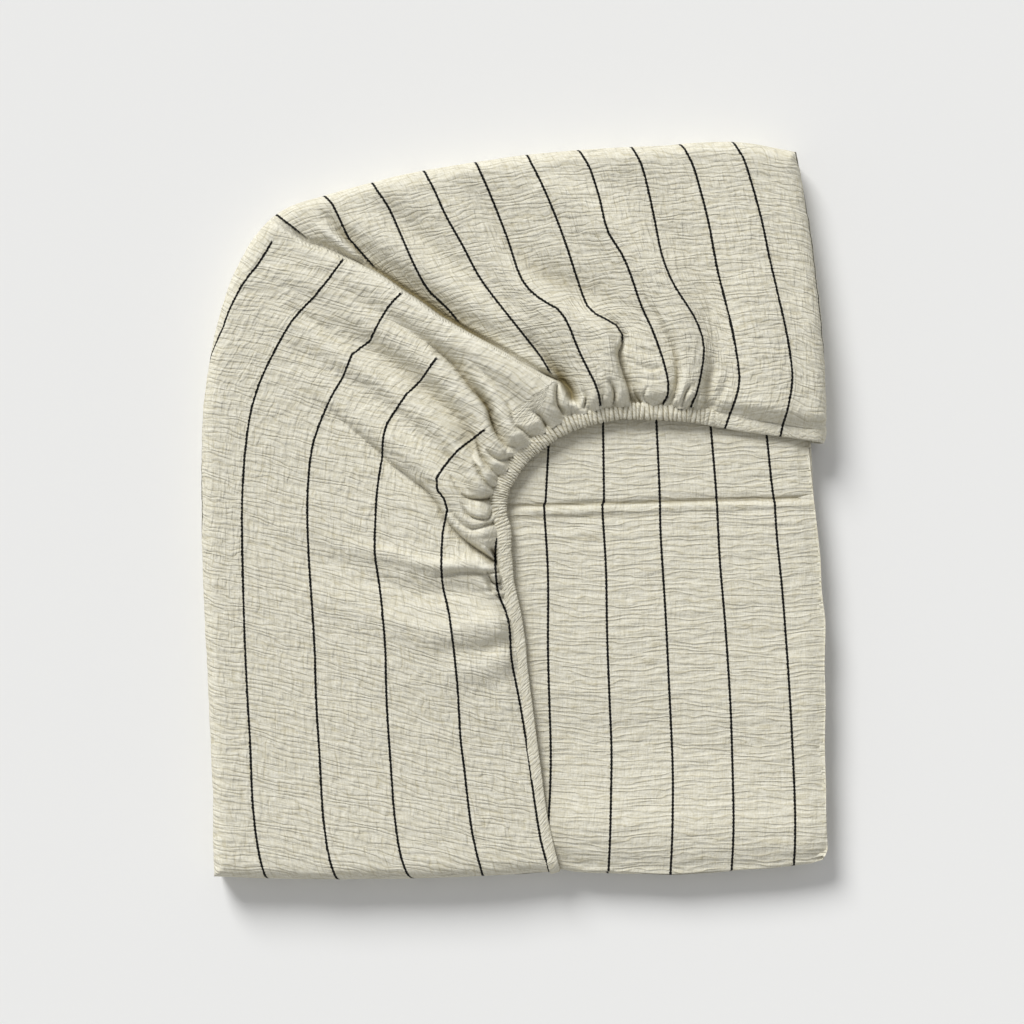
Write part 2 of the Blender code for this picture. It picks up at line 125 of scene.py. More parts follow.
def through(rows: Array, place: Array) -> Array:
    """A smooth curve through rows of numbers.

    Args:
        rows: the rows that the curve passes through.
        place: row numbers, which may be fractions.

    Returns:
        One row for each place.
    """
    rows = np.asarray(rows, float)
    place = np.clip(np.atleast_1d(place), 0, len(rows) - 1)
    first = np.minimum(place.astype(int), len(rows) - 2)
    part = (place - first)[:, None]
    before, after = np.maximum(first - 1, 0), np.minimum(first + 2, len(rows) - 1)
    a, b, c, d = rows[before], rows[first], rows[first + 1], rows[after]
    return b + 0.5 * part * (c - a + part * (2 * a - 5 * b + 4 * c - d + part * (3 * (b - c) + d - a)))


def evenly(line: Array, step: float) -> Array:
    """Runs a smooth line through points.

    Args:
        line: the points, one a row.
        step: about how far apart the new points are.

    Returns:
        The smooth line, as points evenly apart.
    """
    line = np.asarray(line, float)
    fine = through(line, np.linspace(0, len(line) - 1, LINE_POINTS * len(line)))
    walked = walked_along(fine)
    marks = np.linspace(0, walked[-1], max(2, int(round(walked[-1] / step)) + 1))
    return read_rows(marks, walked, fine)


def nearest(points: Array, line: Array) -> tuple[Array, Array, Array]:
    """Finds the nearest place on an open line, seen from above.

    Args:
        points: the points, one a row.
        line: the line's points.

    Returns:
        The distance, whether the point is left of the line's way, and how far along it is.
    """
    best = np.full(len(points), np.inf)
    left = np.zeros(len(points), bool)
    along = np.zeros(len(points))
    walked = 0.0
    for a, b in zip(line[:-1], line[1:]):
        way = b - a
        length = float(np.hypot(way[0], way[1]))
        off_x, off_y = points[:, 0] - a[0], points[:, 1] - a[1]
        share = np.clip((off_x * way[0] + off_y * way[1]) / length**2, 0, 1)
        turn = way[0] * off_y - way[1] * off_x
        away = (off_x - share * way[0]) ** 2 + (off_y - share * way[1]) ** 2
        nearer = away < best
        best[nearer] = away[nearer]
        left[nearer] = turn[nearer] > 0
        along[nearer] = walked + share[nearer] * length
        walked += length
    return np.sqrt(best), left, along


def soft_noise(places: Array, size: Pair, seed: int) -> Array:
    """Smooth random values from -1 to 1.

    Args:
        places: where to read them, two numbers a row.
        size: distance between the random values both ways.
        seed: picks one of many such fields.

    Returns:
        One value for each place.
    """
    table = np.random.default_rng(seed).uniform(-1, 1, NOISE_TABLE)
    scaled = np.asarray(places, float)[:, :2] / np.asarray(size, float)
    whole = np.floor(scaled).astype(int)
    part_x, part_y = smooth_step(scaled - whole).T
    x0, y0 = (whole % NOISE_TABLE).T
    x1, y1 = ((whole + 1) % NOISE_TABLE).T
    low = table[x0, y0] * (1 - part_x) + table[x1, y0] * part_x
    high = table[x0, y1] * (1 - part_x) + table[x1, y1] * part_x
    return low * (1 - part_y) + high * part_y


def layered_noise(places: Array, layers: tuple[tuple[float, Pair, int], ...]) -> Array:
    """Soft noises on top of each other, each with its height, size and seed."""
    return sum(height * soft_noise(places, size, seed) for height, size, seed in layers)


def noise_along(along: Array, size: float, seed: int) -> Array:
    """Smooth random values from -1 to 1 along a line, `size` apart."""
    aside = np.full_like(along, 0.37 * size)
    return soft_noise(np.column_stack([along, aside]), (size, size), seed)


# === Stripes ====================================================================================


@dataclass(frozen=True)
class Stripe:
    """One woven stripe, as it lies: its line from the far edge down, and where along it it shows."""

    line: tuple[Pair, ...]
    shown_from: float = -40.0
    shown_to: float = 900.0


@dataclass(frozen=True)
class StripeFamily:
    """Stripes side by side on one stretch of cloth, which give that stretch its own weave axes."""

    stripes: dict[str, Stripe]
    pitch: float
    weft: tuple[Pair, Pair] | None = None
    line_step: float = 7.0
    run_on: float = 90.0
    guide_step: float = 5.0
    calm: int = 9
    least_room: float = 2.0

    def lines(self) -> list[Array]:
        """Draws the stripes.

        Returns:
            Their smooth lines, carried straight on past both ends.
        """
        found = []
        for stripe in self.stripes.values():
            line = evenly(np.array(stripe.line), self.line_step)
            start = line[0] + unit(line[0] - line[1]) * self.run_on
            end = line[-1] + unit(line[-1] - line[-2]) * self.run_on
            found.append(np.vstack([start, line, end]))
        return found

    def guides(self) -> list[Array]:
        """Draws the stripes without their jogs, to measure how far along them a point lies.

        Returns:
            One calmer line for each stripe.
        """
        found = []
        for line in self.lines():
            even = evenly(line, self.guide_step)
            before = 2 * even[0] - even[self.calm:0:-1]
            after = 2 * even[-1] - even[-2:-self.calm - 2:-1]
            longer = np.vstack([before, even, after])
            weight = soft_window(self.calm)
            found.append(np.column_stack([np.convolve(axis, weight, "valid") for axis in longer.T]))
        return found

    def marks(self) -> list[float]:
        """Finds where one and the same weft thread crosses the guides.

        Returns:
            How far along each guide that is.
        """
        if self.weft is None:
            return [self.run_on] * len(self.stripes)
        (start_x, start_y), (end_x, end_y) = self.weft
        found = []
        for guide in self.guides():
            x, y = guide.T
            side = (end_x - start_x) * (y - start_y) - (end_y - start_y) * (x - start_x)
            found.append(float(walked_along(guide)[np.argmin(np.abs(side))]))
        return found

    def place(self, points: Array, unroll: Move | None = None) -> tuple[Array, Array, Array, Array]:
        """Weave coordinates of points seen from above.

        Args:
            points: the points, one a row.
            unroll: moves the stripes' points as the given points were moved.

        Returns:
            Across the stripes in stripes, along them in mm, whether a stripe shows there from 0
            to 1, and the local distance between stripes.
        """
        away, along, shown = [], [], []
        unroll = unroll or np.array
        drawn = zip(self.stripes.values(), self.lines(), self.guides(), self.marks())
        for stripe, line, guide, mark in drawn:
            distance, left, _ = nearest(points, unroll(line))
            walked = nearest(points, unroll(guide))[2]
            away.append(np.where(left, distance, -distance))
            along.append(walked - mark)
            ends = smooth_step(walked - self.run_on - stripe.shown_from)
            shown.append(ends * smooth_step(stripe.shown_to - walked + self.run_on))
        away, along, shown = np.array(away), np.array(along), np.array(shown)
        last = len(self.stripes) - 1
        count = (away >= 0).sum(axis=0)
        low, high = np.clip(count - 1, 0, last), np.clip(count, 0, last)
        every = np.arange(len(points))
        before, after = away[low, every], -away[high, every]
        outside = low == high
        room = np.where(outside, self.pitch, np.maximum(before + after, self.least_room))
        part = np.where(outside, before / self.pitch, np.clip(before, 0, None) / room)
        inside = np.clip(part, 0, 1)
        run = along[low, every] * (1 - inside) + along[high, every] * inside
        nearer = np.where(inside > 0.5, high, low)
        return low + part, run, shown[nearer, every], room


BAND_STRIPES = StripeFamily(
    stripes={
        "corner": Stripe(((-144.3, 178.5), (-130.5, 168.3), (-112, 152))),
        "second": Stripe((
            (-113.7, 188.7), (-108.3, 182.7), (-99.9, 164.7), (-96.6, 160.7), (-79.7, 141.3),
        )),
        "third": Stripe((
            (-86.7, 197.8), (-75.9, 182.9), (-69.3, 168.5), (-60.3, 147.9), (-52.5, 133.5), (-45.9, 126.9),
            (-36.9, 117.9), (-27.9, 104.7),
        )),
        "fourth": Stripe((
            (-55.5, 204.9), (-48.9, 194.1), (-41.1, 176.7), (-30.9, 158.7), (-20.7, 139.5), (-6.3, 120),
            (5.5, 105.3), (15.7, 92.4), (22.9, 79.5),
        ), shown_to=154),
        "fifth": Stripe((
            (-23.7, 209.7), (-16.5, 194.1), (-9.9, 178.2), (-3.3, 160.7), (2.6, 141.9), (8.4, 132.3),
            (17.1, 125.1), (25.9, 120), (31.7, 111.3), (37.5, 96.9), (43.3, 84.9), (48.9, 73.5),
            (51.3, 63.3),
        ), shown_to=172),
        "sixth": Stripe((
            (6.3, 214.5), (14.1, 200.1), (24.3, 176.7), (30.3, 160.7), (37.5, 138.9), (43.3, 122.9),
            (46.9, 118.5), (60.7, 111.3), (64.4, 105.3), (64, 95), (64.5, 70),
        ), shown_to=133),
        "seventh": Stripe((
            (37.5, 216.9), (44.7, 205.8), (50.7, 186.9), (54.9, 168), (63.7, 153.3), (69.3, 140.4),
            (75.3, 122.9), (82.5, 107.1), (88.5, 89.7), (91.5, 76.5), (91.3, 69.3), (87.7, 62.7),
        )),
        "eighth": Stripe((
            (68.5, 219.9), (75.3, 208.7), (79.5, 194.1), (84, 173.7), (87.7, 153.3), (92.7, 138.9),
            (98.5, 128.7), (107.1, 115.5), (111.7, 104.1), (112.7, 95.1), (110.7, 80.7), (108, 69.3),
            (105.1, 62.1), (105.9, 56.7),
        )),
        "ninth": Stripe((
            (99, 220.5), (105.9, 208.7), (110.7, 192.9), (116.1, 170.9), (120.9, 144.9), (126.3, 122.9),
            (130.5, 104.1), (133.5, 84.9), (133.7, 74.9), (130.5, 63.3), (127.2, 53.4),
        )),
        "tenth": Stripe((
            (129.1, 222.5), (136.5, 211.5), (142.2, 194.1), (147.9, 172.5), (152.3, 150.5), (158.1, 124.5),
            (162.5, 104.1), (165.3, 83.7), (164.7, 72), (161.7, 57.5), (159.9, 48.9),
        )),
        "edge": Stripe((
            (166.5, 217.5), (171.9, 203.1), (174.9, 182.7), (179.1, 153.3), (182.1, 124.5), (184.5, 101.1),
            (187.5, 75), (190, 45),
        )),
    },
    pitch=31.0,
)

SIDE_STRIPES = StripeFamily(
    stripes={
        "edge": Stripe((
            (-146.7, 158.1), (-153.9, 146.7), (-161.7, 137.1), (-170.1, 121.5), (-174.9, 108.9),
            (-181.5, 94.5), (-185.1, 82.5), (-187.5, 65.7), (-187.7, 30.9), (-187.3, 2.1), (-187.9, -30.3),
            (-190, -90), (-192, -220),
        ), shown_from=0),
        "second": Stripe((
            (-101.7, 150.9), (-117.3, 130.8), (-132.9, 113.9), (-148.7, 85.5), (-155.7, 66.9),
            (-159.1, 51.3), (-161.7, 27.9), (-162.9, 2.1), (-162.7, -24.3), (-161.7, -63.3),
            (-160.1, -102.3), (-157.8, -142.5), (-156.7, -171.6), (-154.1, -196.5), (-150.5, -213.9),
            (-147.3, -222.3),
        ), shown_from=0),
        "third": Stripe((
            (-66.9, 130.5), (-77.1, 119.1), (-87.9, 99.9), (-95.1, 96.9), (-101.7, 81.9), (-110.7, 65.7),
            (-117.3, 50.1), (-121.5, 34.5), (-123.7, 8.1), (-123.1, -24.3), (-121.3, -50.1),
            (-119.4, -82.5), (-118.5, -113.1), (-116.3, -149.7), (-114.9, -176.1), (-112, -200.7),
            (-108.3, -215.1), (-105, -221.1),
        ), shown_from=0),
        "fourth": Stripe((
            (-45.9, 91.8), (-55.6, 78.9), (-62.8, 71.7), (-66.3, 66.9), (-75.9, 52.5), (-78.3, 42.3),
            (-79.1, 32.1), (-81.7, 14.7), (-83, -4.5), (-83.3, -24.3), (-81.7, -37.2), (-79.1, -56.7),
            (-77.1, -82.5), (-76.4, -113.1), (-74.1, -149.7), (-72, -179.1), (-69.1, -200.7),
            (-65.5, -213.9), (-62.3, -219.6),
        ), shown_from=0),
        "fifth": Stripe((
            (-17.1, 48.9), (-26.4, 42.3), (-35.5, 34.5), (-44.7, 22.5), (-46.8, 14.7), (-40, 3.3),
            (-42.7, -11.1), (-43.5, -30.7), (-42.7, -45), (-39.3, -59.1), (-36.9, -76.2), (-34.2, -102.3),
            (-32.2, -137.1), (-30.5, -149.7), (-26.2, -186.3), (-22.5, -204.9), (-18.3, -219.6),
        ), shown_from=0),
        "hem": Stripe((
            (-8.8, -12.3), (-11.4, -21.3), (-11.1, -38.1), (-9.5, -50.1), (-5.7, -57.9), (-2.9, -69.9),
            (-1.7, -89.1), (2.9, -113.1), (7.3, -139.5), (11.7, -171.6), (15.9, -197.7), (21.8, -217.9),
        ), shown_from=0),
    },
    pitch=40.0,
    weft=((-9.0, 5.0), (-188.0, 44.0)),
)

PANEL_STRIPES = StripeFamily(
    stripes={
        "first": Stripe((
            (20.5, 41.1), (18.5, 3.3), (17.8, 1.8), (20.1, -37.5), (20.1, -81.3), (20.7, -106.2),
            (21.8, -142.5), (21.5, -164.1), (20.7, -180.3),
        )),
        "second": Stripe((
            (53.1, 54.3), (53.7, 4.7), (52.7, 2.7), (54.9, -34.5), (55.6, -73.8), (57.1, -113.5),
            (58.3, -142.5), (57.9, -171.6), (57.1, -200.7), (56.4, -218.5),
        )),
        "third": Stripe((
            (85.1, 55.5), (87.2, 9.3), (87.7, -14.1), (90.5, -59.1), (92.7, -102.9), (94.9, -149.1),
            (94.9, -179.1), (93.7, -220.3),
        )),
        "fourth": Stripe((
            (117.7, 51.3), (121.1, 10.5), (123.3, -30.3), (126.9, -73.8), (129.8, -120.7), (131, -156.9),
            (131.3, -186.3), (130.3, -220.3),
        )),
        "fifth": Stripe((
            (151.3, 46.2), (154.8, 12.9), (156, 6.9), (157.5, -15.6), (161.1, -51.9), (164.7, -102.9),
            (167.3, -149.7), (168.3, -179.1), (167.9, -216),
        )),
    },
    pitch=STRIPE_PITCH,
    weft=((0.0, -100.0), (190.0, -100.0)),
)

# Where the cloth of the band at the back gives way to the cloth of the side, in the deep valley.
FAMILY_LINE = (
    (-225, 234), (-146.2, 176.2), (-132.4, 166), (-126, 162.3), (-121, 160.5), (-110, 156.8),
    (-101, 152.5), (-91, 147.8), (-79, 141.6), (-67, 133.2), (-56, 126), (-44, 117.2),
    (-26, 106.8), (-14, 100.2), (-3.5, 94.2), (4, 89.4), (13, 84.2), (22, 80), (29, 77),
    (33, 72), (34, 66), (34, 56), (40, 30), (120, -300),
)


# === Folds ======================================================================================


class Profile(Enum):
    """How a fold's height falls off to its sides, as the power of the distance."""

    ROUND = 2.3
    SOFT = 1.8
    SHARP = 1.05


ROUND, SOFT, SHARP = Profile


@dataclass(frozen=True)
class Fold:
    """A ridge, or below zero a crease, from the casing outwards.

    Each of its points holds x, y and the height there. Its sides fall off over `left` and `right`.
    """

    left: float
    right: float
    profile: Profile
    points: tuple[Triple, ...]

    def line(self) -> Array:
        """The smooth line, with its height in the third column."""
        last = len(self.points) - 1
        return through(self.points, np.linspace(0, last, FOLD_POINTS * last + 1))

    def add_to(self, points: Array, up: Array, down: Array) -> None:
        """Adds this fold to rises and falls, in place.

        Args:
            points: the points seen from above.
            up: the cubes of how far ridges raise them.
            down: the cubes of how far creases lower them.
        """
        line = self.line()
        flat = line[:, :2]
        reach = FOLD_REACH * max(self.left, self.right)
        low, high = flat.min(axis=0) - reach, flat.max(axis=0) + reach
        near = np.all((points > low) & (points < high), axis=1)
        if not near.any():
            return
        away, on_left, along = nearest(points[near], flat)
        width = np.where(on_left, self.left, self.right)
        rise = np.interp(along, walked_along(flat), line[:, 2])
        rise *= np.exp(-((away / width) ** self.profile.value))
        up[near] += np.maximum(rise, 0) ** 3
        down[near] += np.maximum(-rise, 0) ** 3


FOLDS = {
    # name: left, right, profile, and points of x, y and height
    "roof_valley": Fold(1, 3, SHARP, (
        (34, 67.5, -3.5), (33.5, 72.5, -5), (29, 77, -5.5), (22, 80, -5), (13, 84.5, -3.6), (4, 89.5, -3.6),
        (-3.5, 94.5, -4.2), (-14, 100.5, -5), (-26, 107, -5.5), (-44, 117.5, -5.8), (-56, 126.5, -5.8),
        (-67, 133.5, -5.8), (-79, 142, -5.4), (-91, 148, -4.6), (-101, 152.5, -4), (-110, 157, -3.6),
        (-121, 160.5, -3.2), (-127, 163, -3), (-133, 167, -2.4), (-145, 177, -1),
    )),
    "roof_slope": Fold(1, 8, SHARP, (
        (-3.5, 94.5, -1.5), (-26, 107, -4.5), (-56, 126.5, -5.5), (-79, 142, -4.5), (-94, 152, -1.5),
    )),
    "curl_valley": Fold(3, 6, SOFT, (
        (34.5, 68, -5), (28.5, 79, -5.5), (20, 89.5, -4), (8, 103, -2.2), (-2.5, 113.5, -1),
    )),
    "roof": Fold(9, 12, ROUND, (
        (18.5, 68, 3), (-1, 80.5, 4.2), (-20.5, 92.5, 4.6), (-42.5, 104, 5), (-61.5, 117.5, 5),
        (-83.5, 132.5, 4), (-106, 146, 2.4), (-122.5, 153.5, 0.8),
    )),
    "strip_crease": Fold(1.4, 5, SHARP, (
        (-79.5, 142.5, -3), (-88, 149.5, -4.4), (-97.5, 159.5, -4.8), (-104.5, 167, -4.6),
        (-113.5, 177.5, -3.6), (-121.5, 183.5, -1.6),
    )),
    "strip": Fold(3, 3, ROUND, (
        (-89, 147.5, 1), (-101.5, 157.5, 2), (-115.5, 170, 2), (-127.5, 182, 1),
    )),
    "corner_tuck": Fold(1.6, 1.6, SOFT, (
        (-118, 172.5, -0.8), (-112, 174.5, -1.6), (-107, 173.5, -0.8),
    )),
    "band_rim": Fold(8, 9, ROUND, (
        (3.5, 109, 2), (-20.5, 119.5, 3), (-44.5, 136.5, 3.4), (-68.5, 153.5, 3.4), (-91.5, 170, 2.4),
        (-110.5, 187, 1),
    )),
    "pleat_valley": Fold(1, 4.2, SHARP, (
        (-4, 37, -3), (-9.5, 44, -4.5), (-13.5, 52.5, -5.5), (-16, 61, -5.8), (-20.5, 67.5, -5.4),
        (-26.5, 74, -4.8), (-32.5, 82, -4.2), (-38.5, 89, -3.8), (-46, 95.5, -3), (-53.5, 101.5, -1.8),
        (-71.5, 113.5, -0.6),
    )),
    "middle_roll": Fold(8, 9, ROUND, (
        (-16.5, 40, 2.5), (-22, 52, 3.2), (-29, 64, 3.8), (-40, 77, 4.2), (-55.5, 92, 4.2),
        (-77.5, 107.5, 3), (-104.5, 127, 1),
    )),
    "low_roll": Fold(4.5, 6, ROUND, (
        (-1.5, 45.5, 3), (-8, 58, 3.8), (-14, 70, 3.8), (-24.5, 82.5, 3), (-38.5, 97, 1.8),
        (-65.5, 113.5, 0.6),
    )),
    "seam": Fold(0.8, 0.9, SHARP, (
        (1.5, 49, -1.4), (-1, 56, -1.6), (-4, 64, -1.4), (-10.5, 73, -1.2), (-17.5, 82, -1.1),
        (-26.5, 89.5, -0.7),
    )),
    "middle_trough": Fold(6.5, 7, SOFT, (
        (-23.5, 37, -3), (-27.5, 43, -3.6), (-31, 52, -3.2), (-38.5, 59.5, -3), (-48.5, 68.5, -3),
        (-61.5, 79, -2.8), (-73.5, 88.5, -2.6), (-88, 98, -2.2), (-107.5, 107.5, -1.2),
    )),
    "third_roll": Fold(11, 9, ROUND, (
        (-22, 20, 3), (-38.5, 40, 3.4), (-56.5, 58, 3.6), (-80.5, 76, 3.2), (-107.5, 94, 2.2),
        (-134.5, 112, 1),
    )),
    "flap_hollow": Fold(5, 1, SHARP, (
        (-11, -30.5, -4), (-18.5, -25, -4.4), (-25, -20.5, -4.2), (-32.5, -14.5, -3.8), (-40.5, -5.5, -3.6),
        (-46.5, 5, -3.4), (-52.5, 12.5, -3.2), (-61.5, 19.5, -3), (-73.5, 28.5, -2.6), (-82.5, 37.5, -2.2),
        (-97.5, 50, -1.5), (-118, 67, -0.6),
    )),
    "flap_edge": Fold(6, 9, ROUND, (
        (-14.5, -16, 2.2), (-26.5, -5, 2.8), (-35.5, 8.5, 3.2), (-44.5, 19, 3.2), (-59.5, 31, 3),
        (-74.5, 43, 2.6), (-95.5, 58, 1.8), (-122.5, 76, 0.8),
    )),
    "flap_trough": Fold(5, 6, SOFT, (
        (-26.5, 7, -1.6), (-41.5, 34, -1.8), (-68.5, 58, -1.8), (-98.5, 79, -1.6), (-128.5, 95.5, -0.6),
    )),
    "gather_1": Fold(1.5, 2.4, SHARP, (
        (-8.5, 20, -2.5), (-16.5, 27.5, -3.5), (-20.5, 34, -4), (-23.5, 43, -3.6), (-28, 50, -2.2),
        (-32.5, 58, -1),
    )),
    "gather_2": Fold(1.2, 1.2, SHARP, (
        (-1, 32, -2), (-8.5, 30.5, -2.6), (-14.5, 34, -2.6), (-18.5, 39.5, -1.6),
    )),
    "gather_3": Fold(1.3, 1.3, SHARP, (
        (-10.5, 13, -2.4), (-17.5, 17.5, -3), (-23, 27.5, -2.6), (-26.5, 37, -1.4),
    )),
    "gather_4": Fold(1.2, 1.6, SHARP, (
        (-13.5, 8, -3), (-20.5, 7, -3.6), (-29.5, 8.5, -3.2), (-35, 15.5, -2.4), (-38.5, 23.5, -1.2),
    )),
    "gather_5": Fold(1.2, 1.2, SHARP, (
        (-13.5, -0.5, -2.4), (-16, -4.5, -3), (-22, -4.5, -3), (-28, -1.5, -2.4), (-32.5, 7, -1.2),
    )),
    "gather_6": Fold(1.3, 1.3, SHARP, (
        (-12.5, -6.5, -1.6), (-17.5, -8.5, -2), (-25.5, -10.5, -2), (-32.5, -6.5, -1.6),
        (-37.5, -0.5, -0.8),
    )),
    "gather_7": Fold(1.1, 1.1, SHARP, ((-0.5, 38.5, -2.4), (-5, 39.5, -2.8), (-8.5, 43, -1.6))),
    "gather_8": Fold(1.1, 1.3, SHARP, (
        (9.5, 44.5, -2.5), (4.5, 48.5, -3), (-0.5, 52, -1.8), (-1.5, 56, -0.8),
    )),
    "gather_9": Fold(1.1, 1.4, SHARP, ((19.5, 50.5, -3), (16, 56, -3.2), (11, 59.5, -1.2))),
    "curl_line": Fold(1, 2.2, SHARP, (
        (29, 58.5, -3), (25.5, 64.5, -3.8), (25, 73, -2.8), (26.5, 78.5, -1.2),
    )),
    "pit": Fold(1.6, 1.8, SOFT, ((-8, -34, -4), (-10.5, -27.5, -5), (-14, -22.5, -3.4))),
    "knob_ridge": Fold(5, 4, ROUND, (
        (-10.5, -36.5, 3.2), (-18.5, -31, 3.6), (-29.5, -30.5, 3), (-47.5, -31.5, 2.4), (-71.5, -26.5, 1.6),
        (-95.5, -20, 0.6),
    )),
    "knob_hook": Fold(1, 1.2, SHARP, (
        (-8.5, -43, -3), (-12.5, -43, -3.6), (-15.5, -38, -3), (-17, -33.5, -1.2),
    )),
    "knob_crease": Fold(2.4, 1.6, SOFT, (
        (-13.5, -46, -2.4), (-18.5, -37.5, -2.2), (-31.5, -36.5, -1.6), (-47, -39.5, -0.8),
    )),
    "hip_notch": Fold(1.1, 1.2, SHARP, (
        (-7, -54.5, -2.2), (-10.5, -50.5, -2.6), (-15.5, -46.5, -1.4),
    )),
    "hip_hollow": Fold(8, 7, SOFT, (
        (-8.5, -56.5, -1.7), (-26.5, -48.5, -1.9), (-62, -47, -1.6), (-98.5, -34, -1.1),
        (-128.5, -22, -0.5),
    )),
    "hip_roll": Fold(9, 6, ROUND, (
        (-5.5, -64, 1.7), (-26.5, -68.5, 1.8), (-50.5, -71, 1.7), (-86.5, -60.5, 1.0), (-116.5, -47, 0.4),
    )),
    "bulge_edge": Fold(1, 4, SHARP, (
        (69.5, 66.5, -4.5), (67.5, 75.5, -4.6), (64.5, 83.5, -4.2), (62, 93.5, -4), (64, 100, -3.6),
        (64.5, 106, -3.2), (59, 113.5, -2.6), (50, 119.5, -1.8), (42.5, 127, -0.8),
    )),
    "tall_fold": Fold(10, 6, ROUND, (
        (61.5, 68, 2), (58, 79, 3), (55, 97, 4.6), (50, 107.5, 4.6), (38, 116, 3.4), (22.5, 122, 2),
    )),
    "bulge_left": Fold(11, 11, ROUND, (
        (51.5, 71.5, 1.8), (45.5, 91, 3), (34.5, 107.5, 4), (18.5, 124.5, 4.2), (-5.5, 148, 2.6),
        (-35.5, 178, 1.2), (-65.5, 194, 0.6),
    )),
    "bulge_gap": Fold(10, 9, SOFT, (
        (68, 113.5, -1.2), (51.5, 127, -2.4), (24.5, 139, -3.2), (6.5, 149.5, -3), (-8.5, 167.5, -2.4),
        (-23.5, 190, -1.2),
    )),
    "corner_gap": Fold(6, 6, SOFT, ((-26.5, 136, -1.2), (-59.5, 167, -2.4), (-88, 191.5, -0.8))),
    "bulge_right": Fold(13, 12, ROUND, (
        (101.5, 71.5, 2), (103, 97, 3.2), (92, 125.5, 4.4), (66.5, 160, 4), (36.5, 184, 2.4), (8, 203.5, 1),
    )),
    "fifth_edge": Fold(4, 1.2, SHARP, (
        (95.5, 68, -3.5), (97, 76, -4), (97.5, 86, -3.8), (95, 97, -3.4), (90.5, 106, -2.4),
        (82.5, 119.5, -1.2), (75.5, 129.5, -0.6),
    )),
    "ripple_1": Fold(2.2, 1.4, SHARP, (
        (65.5, 98.5, -0.7), (75.5, 95.5, -0.8), (84.5, 93.5, -0.7), (92, 97, -0.3),
    )),
    "ripple_2": Fold(2.2, 1.4, SHARP, (
        (66.5, 90.5, -0.7), (75.5, 86, -0.8), (84.5, 85, -0.7), (92.5, 88.5, -0.4),
    )),
    "ripple_3": Fold(2.2, 1.4, SHARP, (
        (68, 82.5, -0.7), (78.5, 78.5, -0.8), (87.5, 78.5, -0.6), (94, 81.5, -0.3),
    )),
    "sixth_trough": Fold(4.5, 5, SOFT, (
        (115.5, 64.5, -3), (115.5, 76, -3.4), (118.5, 88, -2.6), (118.5, 103, -1.4), (113, 127, -0.6),
    )),
    "shoulder_gap": Fold(9, 11, SOFT, ((125.5, 67, -1), (113, 133, -2.4), (63.5, 202, -0.8))),
    "shoulder": Fold(14, 16, ROUND, ((155.5, 55, 1.2), (141.5, 127, 2), (119, 187, 0.8))),
    "last_trough": Fold(3, 4, SOFT, ((115, 61.5, -1.8), (124.5, 73, -2), (128.5, 91, -0.8))),
    "gather_10": Fold(1.2, 1.4, SHARP, ((41.5, 62.5, -2.8), (42.5, 68, -3.2), (39.5, 73, -1.6))),
    "gather_11": Fold(1.1, 1.1, SHARP, ((51.5, 64, -1.8), (52.5, 69.5, -2), (50, 74, -1))),
    "gather_12": Fold(1.2, 1.4, SHARP, ((59, 64.5, -3), (59.5, 71, -3.8), (56.5, 77.5, -1.6))),
    "gather_13": Fold(1.1, 1.4, SHARP, ((76, 64.5, -2.6), (72.5, 69.5, -3.2), (70, 76, -1.6))),
    "gather_14": Fold(1.1, 1.1, SHARP, ((80, 64, -2.6), (77, 68.5, -2.6), (78.5, 73.5, -1.2))),
    "gather_15": Fold(1.1, 1.3, SHARP, ((87.5, 64, -2), (92, 68.5, -2.4), (94.5, 73.5, -1.4))),
    "gather_16": Fold(1.1, 1.4, SHARP, ((100, 63.5, -2.6), (101.5, 69.5, -3), (104, 74.5, -1.4))),
    "gather_17": Fold(1.1, 1.4, SHARP, ((107, 62, -1.8), (109, 67.5, -2), (110.5, 72.5, -1))),
    "cheek": Fold(7, 6, ROUND, ((-81.5, 118.5, 0.6), (-111.5, 132.5, 1.6), (-141.5, 144.5, 1))),
    "side_1": Fold(3.4, 2.4, SOFT, ((-56.5, 55, -0.5), (-88.5, 92, -1.8), (-132.5, 121, -0.9))),
    "low_ripple_1": Fold(4, 4, SOFT, ((-4, -77.5, -1.2), (-21.5, -83, -1.1), (-42.5, -83.5, -0.5))),
    "low_ripple_2": Fold(5, 5, ROUND, ((-3.5, -88, 0.8), (-18.5, -94, 0.9), (-39.5, -95.5, 0.4))),
    "low_ripple_3": Fold(4, 5, SOFT, ((-1, -98.5, -1.0), (-15.5, -107, -0.7), (-36.5, -113, -0.2))),
}


# === Shader node groups =========================================================================


